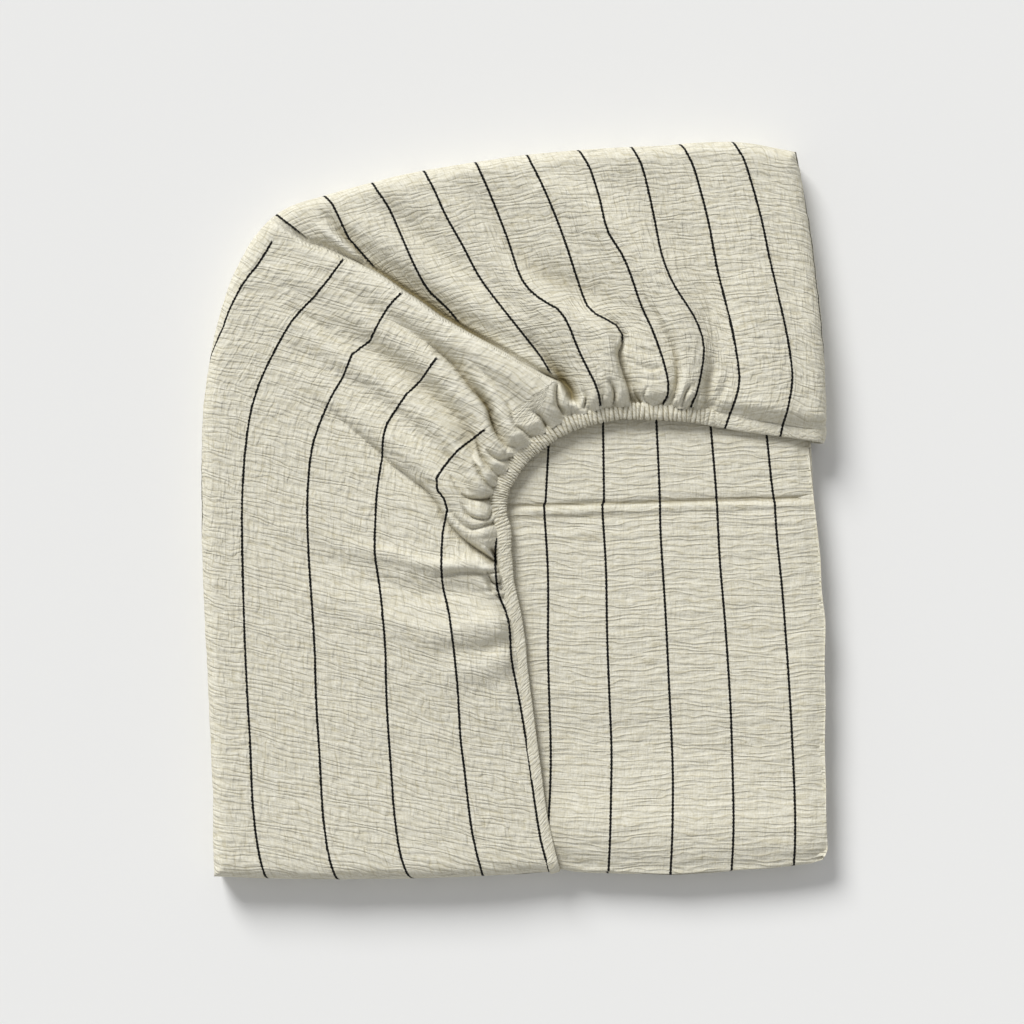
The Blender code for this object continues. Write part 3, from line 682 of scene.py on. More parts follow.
class Graph:
    """A node tree under construction."""

    def __init__(self, tree: bpy.types.NodeTree) -> None:
        """Keeps the tree."""
        self.tree = tree

    def add(self, kind: str, **settings: object) -> bpy.types.Node:
        """Makes a node.

        Args:
            kind: its type.
            settings: values of its properties.

        Returns:
            The new node.
        """
        node = self.tree.nodes.new(kind)
        for name, value in settings.items():
            setattr(node, name, value)
        return node

    def join(self, source: object, target: Socket) -> None:
        """Links a socket, or sets a plain value, on a target socket.

        Args:
            source: a socket, a number, a vector or a colour.
            target: the socket that takes it.
        """
        if isinstance(source, Socket):
            self.tree.links.new(source, target)
        else:
            target.default_value = source

    def feed(self, kind: str, values: tuple[object, ...], **settings: object) -> bpy.types.Node:
        """Makes a node and joins its inputs.

        Args:
            kind: its type.
            values: sockets or plain values, in the order of its inputs.
            settings: values of its properties.

        Returns:
            The new node.
        """
        node = self.add(kind, **settings)
        for value, target in zip(values, node.inputs):
            self.join(value, target)
        return node

    def math(self, operation: str, *values: object, clamp: bool = False) -> Socket:
        """The result of a Math node."""
        return self.feed("ShaderNodeMath", values, operation=operation, use_clamp=clamp).outputs[0]

    def vector(self, operation: str, *values: object) -> Socket:
        """The vector of a Vector Math node."""
        return self.feed("ShaderNodeVectorMath", values, operation=operation).outputs[0]

    def combine(self, *values: object) -> Socket:
        """A vector of two or three values."""
        return self.feed("ShaderNodeCombineXYZ", values).outputs[0]

    def parts(self, vector: object) -> bpy.types.bpy_prop_collection:
        """The three values of a vector."""
        return self.feed("ShaderNodeSeparateXYZ", (vector,)).outputs

    def attribute(self, name: str) -> bpy.types.Node:
        """Reads an attribute of the mesh."""
        return self.add("ShaderNodeAttribute", attribute_name=name)

    def ramp(self, value: object, low: float, high: float) -> Socket:
        """A soft S from 0 at `low` to 1 at `high`, which may be the lower of the two."""
        node = self.feed("ShaderNodeMapRange", (value, low, high), interpolation_type="SMOOTHSTEP")
        return node.outputs[0]

    def total(self, first: tuple[object, object], *others: tuple[object, object]) -> Socket:
        """Adds up values, each times its own share.

        Args:
            first: a value and its share.
            others: more of them.

        Returns:
            The sum.
        """
        added = self.math("MULTIPLY", *first)
        for value, share in others:
            added = self.math("MULTIPLY_ADD", value, share, added)
        return added

    def noise(self, place: object, scale: float = 1.0, detail: float = 1.0) -> Socket:
        """A Noise texture.

        Args:
            place: where it is read.
            scale: how fast it changes.
            detail: how much finer noise it holds.

        Returns:
            Its value, from 0 to 1.
        """
        node = self.add("ShaderNodeTexNoise", noise_dimensions="3D")
        self.join(place, node.inputs["Vector"])
        node.inputs["Scale"].default_value = scale
        node.inputs["Detail"].default_value = detail
        return node.outputs["Fac"]

    def blend(self, factor: object, first: object, second: object) -> Socket:
        """A colour mix.

        Args:
            factor: 0 for the first colour, 1 for the second.
            first: a socket or a colour.
            second: a socket or a colour.

        Returns:
            The mixed colour.
        """
        node = self.add("ShaderNodeMix", data_type="RGBA")
        for place, value in ((0, factor), (6, first), (7, second)):
            self.join(value, node.inputs[place])
        return node.outputs[2]


class Effect:
    """A shader node group with named inputs and outputs, built once."""

    def __init__(self, name: str, inputs: dict[str, object], outputs: tuple[str, ...]) -> None:
        """Makes the empty group.

        Args:
            name: the group's name.
            inputs: each input with its default, or None for a vector.
            outputs: names of the outputs, all numbers.
        """
        self.group = bpy.data.node_groups.new(name, "ShaderNodeTree")
        face = self.group.interface
        for title, default in inputs.items():
            kind = "NodeSocketVector" if default is None else "NodeSocketFloat"
            socket = face.new_socket(name=title, in_out="INPUT", socket_type=kind)
            if default is not None:
                socket.default_value = default
        for title in outputs:
            face.new_socket(name=title, in_out="OUTPUT", socket_type="NodeSocketFloat")
        self.graph = Graph(self.group)
        self.source = self.graph.add("NodeGroupInput").outputs
        self.sink = self.graph.add("NodeGroupOutput").inputs

    def place_in(self, graph: Graph, **values: object) -> bpy.types.bpy_prop_collection:
        """Puts the group in a material.

        Args:
            graph: the material's tree.
            values: its inputs, with _ for each space.

        Returns:
            Its outputs.
        """
        node = graph.add("ShaderNodeGroup", node_tree=self.group)
        for name, value in values.items():
            graph.join(value, node.inputs[name.replace("_", " ")])
        return node.outputs


def crinkle_effect() -> Effect:
    """Crinkles of washed double gauze: uneven ripples along the weft, and fainter ones along the warp.

    Returns:
        The group: from a place on the cloth in millimetres to a height and a mask of the creases, where the
            materials paint shade.
    """
    inputs = {"Place": None, "Gap": 3.3, "Length": 16.0, "Cross": 0.35}
    effect = Effect("crinkle", inputs, ("Height", "Crease"))
    graph, place = effect.graph, effect.source["Place"]
    gap, length, cross = (effect.source[name] for name in ("Gap", "Length", "Cross"))
    across_warp, across_weft, _ = graph.parts(place)

    def times(value: object, factor: float) -> Socket:
        """A value times a number."""
        return graph.math("MULTIPLY", value, factor)

    def cloud(across: object, along: object, move: float, detail: float = 1.0) -> Socket:
        """Stretches a noise.

        Args:
            across: its size across.
            along: its size along.
            move: picks another stretch of the same noise.
            detail: how much finer noise it holds.

        Returns:
            Its value, from 0 to 1.
        """
        size = graph.combine(graph.math("DIVIDE", 1.0, across), graph.math("DIVIDE", 1.0, along))
        spot = graph.vector("ADD", graph.vector("MULTIPLY", place, size), (move, 2 * move, move))
        return graph.noise(spot, detail=detail)

    def ripples(way: object, spacing: object, drift: object, strength: object) -> tuple[object, object]:
        """Rounded rolls side by side, which meet in thin creases.

        Args:
            way: the coordinate across them.
            spacing: the distance between two creases.
            drift: how far they wander.
            strength: how much they show.

        Returns:
            The rolls' height, and the creases.
        """
        turn = graph.math("DIVIDE", graph.math("ADD", way, drift), spacing)
        roll = graph.math("ABSOLUTE", graph.math("SINE", times(turn, math.pi)))
        crease = graph.math("MULTIPLY", graph.ramp(roll, low=0.55, high=0.0), strength)
        return graph.math("MULTIPLY", graph.math("POWER", roll, 0.8), strength), crease

    sway = graph.math("SUBTRACT", cloud(times(length, 1.3), times(gap, 2.2), move=3.7, detail=2.0), 0.5)
    there = graph.ramp(cloud(times(length, 0.8), times(gap, 1.1), move=9.1), low=0.24, high=0.58)
    drift = graph.math("MULTIPLY", sway, times(gap, 3.4))
    weft, weft_crease = ripples(across_weft, gap, drift, there)

    lean = graph.math("SUBTRACT", cloud(times(gap, 2.4), length, move=5.3, detail=2.0), 0.5)
    there = graph.ramp(cloud(times(gap, 1.1), times(length, 0.5), move=1.9), low=0.40, high=0.66)
    drift = graph.math("MULTIPLY", lean, times(gap, 3.0))
    warp, warp_crease = ripples(across_warp, times(gap, 1.6), drift, there)

    fine = cloud(times(length, 0.35), times(gap, 0.32), move=6.9)
    soft = cloud(times(length, 0.6), times(gap, 1.7), move=2.3)
    cross_share = times(cross, 0.6)
    height = graph.total((weft, 0.62), (soft, 0.8), (fine, 0.25), (warp, cross_share))
    graph.join(height, effect.sink["Height"])
    fine_crease = graph.ramp(fine, low=0.5, high=0.3)
    crease = graph.total((weft_crease, 0.8), (fine_crease, 0.16), (warp_crease, cross_share))
    graph.join(graph.math("MINIMUM", crease, 1.0), effect.sink["Crease"])
    return effect


def weave_effect() -> Effect:
    """The mottled open weave: uneven threads both ways, and specks.

    Returns:
        The group: from a place on the cloth in millimetres to a height and a tone from 0 to 1.
    """
    effect = Effect("gauze_weave", {"Place": None, "Thread": 1.5}, ("Height", "Tone"))
    graph, place = effect.graph, effect.source["Place"]
    across_warp, across_weft, _ = graph.parts(place)

    def blotches(stretch: Triple, detail: float) -> Socket:
        """A noise at the place on the cloth, stretched."""
        return graph.noise(graph.vector("MULTIPLY", place, stretch), detail=detail)

    def threads(way: object, stretch: Triple) -> Socket:
        """Fine ridges side by side, which wander and fade.

        Args:
            way: the coordinate across them.
            stretch: how fast they wander each way.

        Returns:
            Their height, from -1 to 1.
        """
        wander = graph.math("MULTIPLY_ADD", blotches(stretch, detail=2.0), 6.0, way)
        turn = graph.math("DIVIDE", wander, effect.source["Thread"])
        wave = graph.math("SINE", graph.math("MULTIPLY", turn, 2 * math.pi))
        there = graph.ramp(blotches((0.3, 0.3, 0.1), detail=1.0), low=0.3, high=0.7)
        return graph.math("MULTIPLY", wave, there)

    warp = threads(across_warp, stretch=(0.22, 0.05, 0.1))
    weft = threads(across_weft, stretch=(0.05, 0.22, 0.1))
    speck = blotches((0.75, 0.75, 0.1), detail=2.0)
    blot = blotches((0.16, 0.2, 0.1), detail=1.0)
    mean = graph.total((speck, 0.6), (warp, 0.09), (weft, 0.07), (blot, 0.4))
    graph.join(mean, effect.sink["Height"])
    graph.join(graph.ramp(mean, low=0.34, high=0.66), effect.sink["Tone"])
    return effect


def stripe_effect() -> Effect:
    """A thin stripe of twisted yarn at each whole number of `Across`.

    Returns:
        The group: from weave coordinates to the stripe's mask and the height of its yarn.
    """
    inputs = {"Across": 0.0, "Along": 0.0, "Shown": 1.0, "Pitch": 36.0, "Width": 1.4}
    effect = Effect("yarn_stripe", inputs, ("Mask", "Height"))
    graph, given = effect.graph, effect.source
    where = graph.combine(given["Along"], graph.math("MULTIPLY", given["Across"], 3.7))
    wobble = graph.math("SUBTRACT", graph.noise(where, scale=0.55, detail=2.0), 0.5)
    turn = graph.math("MULTIPLY_ADD", given["Along"], 2.9, graph.math("MULTIPLY", wobble, 5.0))
    twist = graph.math("SINE", turn)
    stripes_off = graph.math("SUBTRACT", given["Across"], graph.math("ROUND", given["Across"]))
    off = graph.math("MULTIPLY", stripes_off, given["Pitch"])
    off = graph.math("ABSOLUTE", graph.math("MULTIPLY_ADD", wobble, 0.6, off))
    half = graph.total((given["Width"], 0.5), (twist, 0.11), (wobble, 0.5))
    inside = graph.ramp(graph.math("SUBTRACT", half, off), low=-0.12, high=0.16)
    mask = graph.math("MULTIPLY", inside, given["Shown"])
    graph.join(mask, effect.sink["Mask"])
    strand = graph.math("MULTIPLY_ADD", twist, 0.25, 0.75)
    graph.join(graph.math("MULTIPLY", mask, strand), effect.sink["Height"])
    return effect


@dataclass
class Effects:
    """The groups that the cloth's materials share."""

    crinkle: Effect = field(default_factory=crinkle_effect)
    weave: Effect = field(default_factory=weave_effect)
    stripe: Effect = field(default_factory=stripe_effect)


# === Finishes ===================================================================================


@dataclass(frozen=True)
class GauzeFinish:
    """Undyed double gauze with a dark stripe."""

    name: str
    pale: Colour = (0.734, 0.709, 0.606, 1.0)
    shade: Colour = (0.634, 0.600, 0.478, 1.0)
    # crease: painted shade in the crinkle's creases.
    crease: Colour = (0.440, 0.385, 0.225, 1.0)
    # deep: painted shade in the folds' creases and hollows, in the tuck and close under the casing.
    deep: Colour = (0.185, 0.145, 0.055, 1.0)
    # crest: painted highlight on the crests of the folds.
    crest: Colour = (0.850, 0.830, 0.735, 1.0)
    yarn: Colour = (0.008, 0.008, 0.007, 1.0)
    crease_shade_share: float = 0.44
    crest_highlight_share: float = 0.6
    crest_calm: float = 0.7
    deep_shade_share: float = 0.95
    gap: float = 3.3
    length: float = 21.0
    cross: float = 0.35
    crinkle_depth: float = 0.62
    weave_depth: float = 0.34
    yarn_depth: float = 0.12
    stripe_width: float = 1.45
    roughness: float = 0.92
    specular: float = 0.1
    sheen: float = 0.03
    sheen_roughness: float = 0.6

    def material(self, effects: Effects) -> bpy.types.Material:
        """Builds the material.

        Args:
            effects: the shared groups.

        Returns:
            The new material.
        """
        made = bpy.data.materials.new(self.name)
        made.use_nodes = True
        graph = Graph(made.node_tree)
        shader = made.node_tree.nodes["Principled BSDF"]
        shader.inputs["Roughness"].default_value = self.roughness
        shader.inputs["Specular IOR Level"].default_value = self.specular
        shader.inputs["Sheen Weight"].default_value = self.sheen
        shader.inputs["Sheen Roughness"].default_value = self.sheen_roughness
        across, along, shown = graph.parts(graph.attribute("weave_place").outputs["Vector"])
        room, shade, crinkled = (graph.attribute(name).outputs["Fac"]
                                 for name in ("stripe_room", "fold_shade", "crinkle_share"))
        place = graph.combine(graph.math("MULTIPLY", across, STRIPE_PITCH), along)
        crinkle = effects.crinkle.place_in(graph, Place=place, Gap=self.gap, Length=self.length,
                                           Cross=self.cross)
        weave = effects.weave.place_in(graph, Place=place)
        stripe = effects.stripe.place_in(graph, Across=across, Along=along, Shown=shown, Pitch=room,
                                         Width=self.stripe_width)
        # Painted highlight on the crests, where fold_shade is below 0.
        crest = graph.math("MULTIPLY", shade, -self.crest_highlight_share, clamp=True)
        # Painted shade in the folds' creases and hollows, where fold_shade is above 0.
        deep = graph.math("MULTIPLY", shade, self.deep_shade_share, clamp=True)
        # Painted shade in the crinkle's creases, calmed on the crests with painted highlight.
        share = graph.math("MULTIPLY", crinkled, self.crease_shade_share)
        crease = graph.math("MULTIPLY", crinkle["Crease"], share)
        calm = graph.math("MULTIPLY_ADD", crest, -self.crest_calm, 1.0)
        crease = graph.math("MULTIPLY", crease, calm)
        cloth = graph.blend(weave["Tone"], self.shade, self.pale)
        for mask, colour in ((crease, self.crease), (crest, self.crest), (deep, self.deep),
                             (stripe["Mask"], self.yarn)):
            cloth = graph.blend(mask, cloth, colour)
        graph.join(cloth, shader.inputs["Base Color"])
        depth = graph.math("MULTIPLY", crinkled, self.crinkle_depth)
        height = graph.total((crinkle["Height"], depth), (weave["Height"], self.weave_depth),
                             (stripe["Height"], self.yarn_depth))
        bump = graph.add("ShaderNodeBump")
        bump.inputs["Distance"].default_value = MM
        bump.inputs["Strength"].default_value = 1.0
        graph.join(height, bump.inputs["Height"])
        graph.join(bump.outputs["Normal"], shader.inputs["Normal"])
        return made


@dataclass(frozen=True)
class FloorFinish:
    """A plain pale floor."""

    name: str = "pale_floor"
    colour: Colour = (0.84, 0.84, 0.83, 1.0)
    roughness: float = 0.8
    specular: float = 0.1

    def material(self) -> bpy.types.Material:
        """Builds the material.

        Returns:
            The new material.
        """
        made = bpy.data.materials.new(self.name)
        made.use_nodes = True
        shader = made.node_tree.nodes["Principled BSDF"]
        shader.inputs["Base Color"].default_value = self.colour
        shader.inputs["Roughness"].default_value = self.roughness
        shader.inputs["Specular IOR Level"].default_value = self.specular
        return made


# === Meshes =====================================================================================


@dataclass
class ClothGrid:
    """Points of an open cloth in millimetres with their weave coordinates and painted shade."""

    name: str
    places: Array
    faces: list[tuple[int, ...]]
    across: Array
    along: Array
    shown: Array
    room: Array
    shade: Array
    crinkled: Array

    def build(self, material: bpy.types.Material) -> bpy.types.Object:
        """Makes the object.

        Args:
            material: its finish.

        Returns:
            The new object, linked to the scene.
        """
        moved = self.places + np.array([*PACKET_SHIFT, 0.0])
        mesh = bpy.data.meshes.new(self.name)
        mesh.from_pydata(moved * MM, [], self.faces)
        weave = mesh.attributes.new("weave_place", "FLOAT_VECTOR", "POINT")
        values = np.column_stack([self.across, self.along, self.shown]).astype(np.float32)
        weave.data.foreach_set("vector", values.ravel())
        # fold_shade holds the painted shade, and below 0 the painted highlight on crests.
        for title, amounts in (("stripe_room", self.room), ("fold_shade", self.shade),
                               ("crinkle_share", self.crinkled)):
            extra = mesh.attributes.new(title, "FLOAT", "POINT")
            extra.data.foreach_set("value", amounts.astype(np.float32))
        mesh.materials.append(material)
        mesh.shade_smooth()
        mesh.validate()
        made = bpy.data.objects.new(self.name, mesh)
        bpy.context.scene.collection.objects.link(made)
        return made


def grid_faces(rows: int, columns: int, wrap: bool = False) -> list[tuple[int, ...]]:
    """Four-sided faces of a grid of points.

    Args:
        rows: number of rows.
        columns: points in a row.
        wrap: whether each row closes on itself.

    Returns:
        The faces, as point numbers.
    """
    index = np.arange(rows * columns).reshape(rows, columns)
    beside = np.roll(index, -1, axis=1) if wrap else index[:, 1:]
    here = index if wrap else index[:, :-1]
    faces = np.stack([here[:-1], beside[:-1], beside[1:], here[1:]], axis=-1)
    return [tuple(face) for face in faces.reshape(-1, 4).tolist()]


@dataclass
class ClothPiece:
    """A piece of the sheet with its finish."""

    finish: GauzeFinish

    def grid(self) -> ClothGrid:
        """The piece's points and weave coordinates, which each kind of piece works out."""
        raise NotImplementedError

    def build(self, effects: Effects) -> bpy.types.Object:
        """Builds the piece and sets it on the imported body.

        Args:
            effects: the shared shader groups.

        Returns:
            The new object.
        """
        made = self.grid().build(self.finish.material(effects))
        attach(made, BODY)
        return made


# === The corner of gathered cloth ===============================================================

# One row for each section across the L, from the right-hand end of the hem to its lower end.
SECTIONS = (
    # hem_x, hem_y, rim_x, rim_y, columns
    (187.0, 45.5, 169.3, 216.0, 4),
    (150.0, 51.5, 131.0, 222.3, 4),
    (118.5, 56.2, 84.0, 220.0, 5),
    (99.0, 59.0, 57.0, 218.4, 6),
    (78.0, 60.0, 27.0, 216.3, 6),
    (58.5, 59.5, -6.0, 212.7, 6),
    (39.5, 55.0, -39.0, 207.9, 6),
    (22.5, 47.0, -72.0, 201.3, 6),
    (7.5, 35.5, -108.0, 191.7, 6),
    (-3.5, 21.5, -142.5, 179.1, 6),
    (-9.5, 5.5, -164.5, 152.0, 6),
    (-8.5, -11.0, -179.0, 112.0, 5),
    (-6.5, -28.0, -187.0, 64.0, 5),
    (-4.0, -46.0, -188.1, 19.0, 4),
    (0.8, -66.5, -187.6, -29.0, 3),
    (4.0, -89.0, -185.7, -77.0, 2),
    (9.5, -131.0, -183.3, -125.0, 2),
    (18.0, -179.0, -181.5, -173.0, 2),
    (26.5, -216.8, -180.9, -219.6, 0),
)

# Height of the casing's middle, by distance along the hem from its right-hand end.
HEM_HEIGHTS = (
    (0.0, 22.8), (60.0, 22.9), (85.0, 24.4), (180.0, 25.0), (250.0, 24.8), (300.0, 23.4), (330.0, 22.8),
)


def hem_height(along: Array) -> Array:
    """Height of the casing's middle along the hem."""
    return read(HEM_HEIGHTS, along)


@dataclass
class GatheredCorner(ClothPiece):
    """The single cloth of the corner: an L on top, gathered at its hem, with walls to the floor."""

    flat_cut: Pair = (0.42, 0.48)
    # The grid: columns from the right-hand end of the hem to its lower end, rows from rim to hem.
    columns_share: float = 5.2
    inner_rows: int = 132
    row_bias: float = 0.5
    edge_steps: tuple[float, ...] = (0.0, 0.5, 1.2, 2.0, 2.9, 3.9, 5.0, 6.2, 7.5, 9.0, 10.8, 13.0, 15.5)
    edge_rings: int = 16
    end_length: float = 42.0
    end_room: float = 0.03
    hem_stop: float = 2.4
    # The outline's bows, its corners and its rounded rim.
    right_bulge: float = 4.5
    front_bulge: float = 2.8
    front_reach: float = 1.5
    corner_turn: float = 16.0
    rim_round: float = 10.0
    # Wall from the rim down: how far in from the outline, and how high.
    wall: tuple[Pair, ...] = ((0.0, 16.0), (0.3, 9.6), (1.4, 3.4), (3.6, 0.7), (9.0, 0.45))
    wall_rows: int = 22
    # Heights of the top, and how folds count in them.
    top: float = 26.0
    cloth: float = 1.5
    lowest: float = 20.9
    floor_softness: float = 0.9
    fold_scale: float = 1.5
    crease_scale: float = 1.25
    rim_calm: Pair = (2.0, 28.0)
    # By distance along the hem: how far from it the top is at its own height.
    hem_fall: tuple[Pair, ...] = ((50.0, 70.0), (84.0, 20.0), (300.0, 20.0), (330.0, 60.0))
    # The wide swell behind the hem, and where along y it sets in.
    swell: float = 7.0
    swell_reach: float = 84.0
    swell_front: Pair = (-150.0, -60.0)
    swell_start: Pair = (0.0, 12.0)
    # Small pleats: where along the hem they start and end, and their sizes.
    pleats_start: Pair = (62.0, 84.0)
    pleats_end: Pair = (312.0, 282.0)
    pleat_height: float = 2.9
    pleat_gap: float = 5.2
    small_pleat_gap: float = 2.3
    small_pleat_share: float = 0.35
    pleat_middle: float = 0.35
    pleat_reach: float = 11.5
    pleat_reach_varies: float = 6.5
    pleat_reach_least: float = 4.5
    # Painted shade in creases and hollows, and painted highlight on crests.
    shade_from: float = 1.6
    deep: float = 4.4
    hollow_points: int = 9
    hollow_calm: Pair = (6.0, 20.0)
    hollow_from: float = 1.2
    hollow_depth: float = 6.5
    crest_from: float = 0.2
    crest_height: float = 4.0
    least_shade: float = 0.04
    # Where the gathers' small bulges are smooth, and by how much.
    smooth_start: Pair = (74.0, 94.0)
    smooth_end: Pair = (300.0, 280.0)
    smooth_reach: Pair = (30.0, 8.0)
    smooth_share: float = 0.5
    # Where the band's cloth meets the side's, and where no stripe shows.
    meeting_gap: float = 1.6
    meeting_fade: float = 0.8
    side_number: float = 40.0
    bare_right: Pair = (190.0, 193.0)
    bare_below: Pair = (112.0, 92.0)
    # Puffs of the crinkled cloth: height, size across and along, and seed.
    puff: float = 0.24
    puffs: tuple[tuple[float, Pair, int], ...] = (
        (1.0, (13.0, 4.2), 11), (0.5, (7.0, 2.3), 12), (1.3, (31.0, 17.0), 13),
    )
    puff_levels: Pair = (1.5, 5.5)

    def section_places(self) -> Array:
        """Places the grid's columns, close together near both ends.

        Returns:
            Their row numbers in SECTIONS, with fractions.
        """
        last = len(SECTIONS) - 1
        near = np.array(self.edge_steps) / self.end_length
        marks = [0.0]
        for row in SECTIONS[:-1]:
            steps = int(round(row[4] * self.columns_share))
            marks += list(marks[-1] + np.arange(1, steps + 1) / steps)
        marks = np.array(marks)
        first = near[-1] + self.end_room
        inner = marks[(marks > first) & (marks < last - first)]
        return np.concatenate([near, inner, last - near[::-1]])

    def plan(self) -> tuple[Array, Array]:
        """The top seen from above.

        Returns:
            The grid, rows from the rim to the hem by columns, and the hem's line.
        """
        places = self.section_places()
        curve = through([row[:4] for row in SECTIONS], places)
        hem, rim = curve[:, :2], curve[:, 2:]
        across = np.linalg.norm(rim - hem, axis=1)
        first, last = self.edge_steps[-1] / across, 1 - self.hem_stop / across
        even = np.arange(1, self.inner_rows + 1) / self.inner_rows
        inner = even * (1 + self.row_bias) - self.row_bias * even**2
        rows = [step / across for step in self.edge_steps]
        rows += [first + part * (last - first) for part in inner]
        share = np.array(rows)
        plan = rim[None] * (1 - share[..., None]) + hem[None] * share[..., None]
        bow = np.clip(4 * share * (1 - share), 0, 1)
        to_front = (len(SECTIONS) - 1 - places) / self.front_reach
        plan[..., 0] += self.right_bulge * bow * smooth_step(1 - places)
        plan[..., 1] -= self.front_bulge * bow * smooth_step(1 - to_front)
        return plan, hem

    def facing(self, outline: Array) -> Array:
        """Outward directions along the outline, turning gradually at its corners.

        Args:
            outline: the packet's outline, seen from above.

        Returns:
            One direction for each point.
        """
        raw = unit(np.gradient(outline, axis=0))[:, ::-1] * (1, -1)
        walked = walked_along(outline)
        near = bell(walked[:, None] - walked[None], self.corner_turn) * np.gradient(walked)
        return unit(near @ raw)

    def pleats(self, along: Array, from_hem: Array) -> tuple[Array, Array]:
        """The small pleats that fan out from the gathered hem.

        Args:
            along: distances along the hem.
            from_hem: distances from it.

        Returns:
            The pleats' form, from 0 in a crease to about 1 on a roll, and how much of it shows.
        """
        fan = along + 1.6 * noise_along(from_hem + along * 0.3, 9.0, 7)
        small = np.abs(noise_along(fan, self.small_pleat_gap, 6)) ** 0.7
        form = np.abs(noise_along(fan, self.pleat_gap, 5)) ** 0.8 + self.small_pleat_share * small
        reach = self.pleat_reach + self.pleat_reach_varies * noise_along(along, 6.5, 8)
        gathered = fade(along, *self.pleats_start) * fade(along, *self.pleats_end)
        fall = bell(from_hem, np.maximum(reach, self.pleat_reach_least))
        return form, gathered * smooth_step((from_hem - 0.3) / 2.4) * fall

    def relief(self, points: Array, from_rim: Array, hem: Array) -> tuple[Array, Array]:
        """Heights of the folds, and the shade painted into their creases.

        Args:
            points: points of the top, seen from above.
            from_rim: their distance from the packet's edge.
            hem: the hem's line.

        Returns:
            The height of each point in millimetres and its painted shade from 0 to 1.
        """
        from_hem, _, along = nearest(points, hem)
        level = hem_height(along) + self.cloth / 2
        height = level + (self.top - level) * smooth_step(from_hem / read(self.hem_fall, along))
        up, down = np.zeros(len(points)), np.zeros(len(points))
        for fold in FOLDS.values():
            fold.add_to(points, up, down)
        form, shows = self.pleats(along, from_hem)
        up = np.cbrt(up) * fade(from_hem, 0.5, 6.5)
        up += self.pleat_height * (form - self.pleat_middle) * shows
        down = np.cbrt(down) * fade(from_hem, -1.5, 2.5)
        down += self.pleat_height * 0.8 * np.maximum(0.3 - form, 0) * shows
        swell = self.swell * bell(from_hem, self.swell_reach)
        height += swell * fade(points[:, 1], *self.swell_front) * fade(from_hem, *self.swell_start)
        calm = fade(from_rim, *self.rim_calm)
        height += self.fold_scale * calm * (up - self.crease_scale * down)
        over = soft_floor((height - self.lowest) / self.floor_softness)
        height = self.lowest + self.floor_softness * over
        # Painted shade in the folds' creases and between the small pleats.
        shade = down + 2.6 * self.pleat_height * np.maximum(0.45 - form, 0) * shows
        return height, smooth_step((shade * calm - self.shade_from) / self.deep)

    def hollow(self, height: Array, from_rim: Array) -> Array:
        """How far places lie below their surroundings.

        Args:
            height: heights of the top, rows by columns.
            from_rim: distances from the packet's edge, flattened.

        Returns:
            Painted shade from 1 in a hollow, and below 0 a painted highlight down to -1 on a crest,
            flattened.
        """
        mean, weight = height, soft_window(self.hollow_points)
        for _ in range(2):
            wide = np.pad(mean, ((self.hollow_points, self.hollow_points), (0, 0)), mode="edge")
            mean = sum(share * wide[k:k + len(mean)] for k, share in enumerate(weight)).T
        below = (mean - height).ravel() * fade(from_rim, *self.hollow_calm)
        crest = smooth_step((-below - self.crest_from) / self.crest_height)
        return smooth_step((below - self.hollow_from) / self.hollow_depth) - crest

    def crinkled(self, points: Array, hem: Array) -> Array:
        """How crinkled the cloth is: smooth on the small bulges beside the gathered hem.

        Args:
            points: points of the top, seen from above.
            hem: the hem's line.

        Returns:
            The crinkle's share at each point.
        """
        from_hem, _, along = nearest(points, hem)
        gathered = fade(along, *self.smooth_start) * fade(along, *self.smooth_end)
        return 1 - self.smooth_share * gathered * fade(from_hem, *self.smooth_reach)

    def roll(self, bent: Array) -> Array:
        """How much longer the cloth is over the rounded rim than it looks from above."""
        return self.rim_round * np.arcsin(bent / self.rim_round) - bent

    def unroll(self, points: Array, outline: Array, out: Array) -> Array:
        """Moves points near the rim outwards, to where they lie with the rim rolled flat.

        Args:
            points: points seen from above.
            outline: the packet's outline.
            out: outward directions along it.

        Returns:
            The moved points.
        """
        from_rim, _, at_rim = nearest(points, outline)
        walked = walked_along(outline)
        face = read_rows(at_rim, walked, out)
        at = outline[np.searchsorted(walked, at_rim).clip(0, len(outline) - 1)]
        outside = ((points - at) * face).sum(axis=1) > 0
        bent = np.where(outside, self.rim_round, np.clip(self.rim_round - from_rim, 0, self.rim_round))
        return points + face * self.roll(bent)[:, None]

    def weave(self, points: Array, unroll: Move) -> tuple[Array, ...]:
        """Weave coordinates, from the band's stripes or the side's stripes.

        Args:
            points: points seen from above, with the rim rolled flat.
            unroll: rolls the rim flat for the stripes' points.

        Returns:
            Across, along, shown, the distance between stripes, and 0 where the two cloths meet
            and 1 away from there.
        """
        away, left, _ = nearest(points, np.array(FAMILY_LINE))
        band = self.spread(BAND_STRIPES, points, left, unroll)
        side = self.spread(SIDE_STRIPES, points, ~left, unroll)
        across, along, shown, room = (np.where(left, a, b) for a, b in zip(band, side))
        across = np.where(left, across, across - self.side_number)
        apart = smooth_step((away - self.meeting_gap) / self.meeting_fade)
        over_end = fade(points[:, 0], *self.bare_right) * fade(points[:, 1], *self.bare_below)
        return across, along, shown * apart * (1 - over_end), room, apart

    @staticmethod
    def spread(family: StripeFamily, points: Array, wanted: Array, unroll: Move) -> list[Array]:
        """A family's weave coordinates on some of the points.

        Args:
            family: the stripes.
            points: all points.
            wanted: which of them the family's cloth covers.
            unroll: rolls the rim flat for the stripes' points.

        Returns:
            The coordinates of all points, with zero outside the wanted ones.
        """
        filled = []
        for values in family.place(points[wanted], unroll):
            whole = np.zeros(len(points))
            whole[wanted] = values
            filled.append(whole)
        return filled

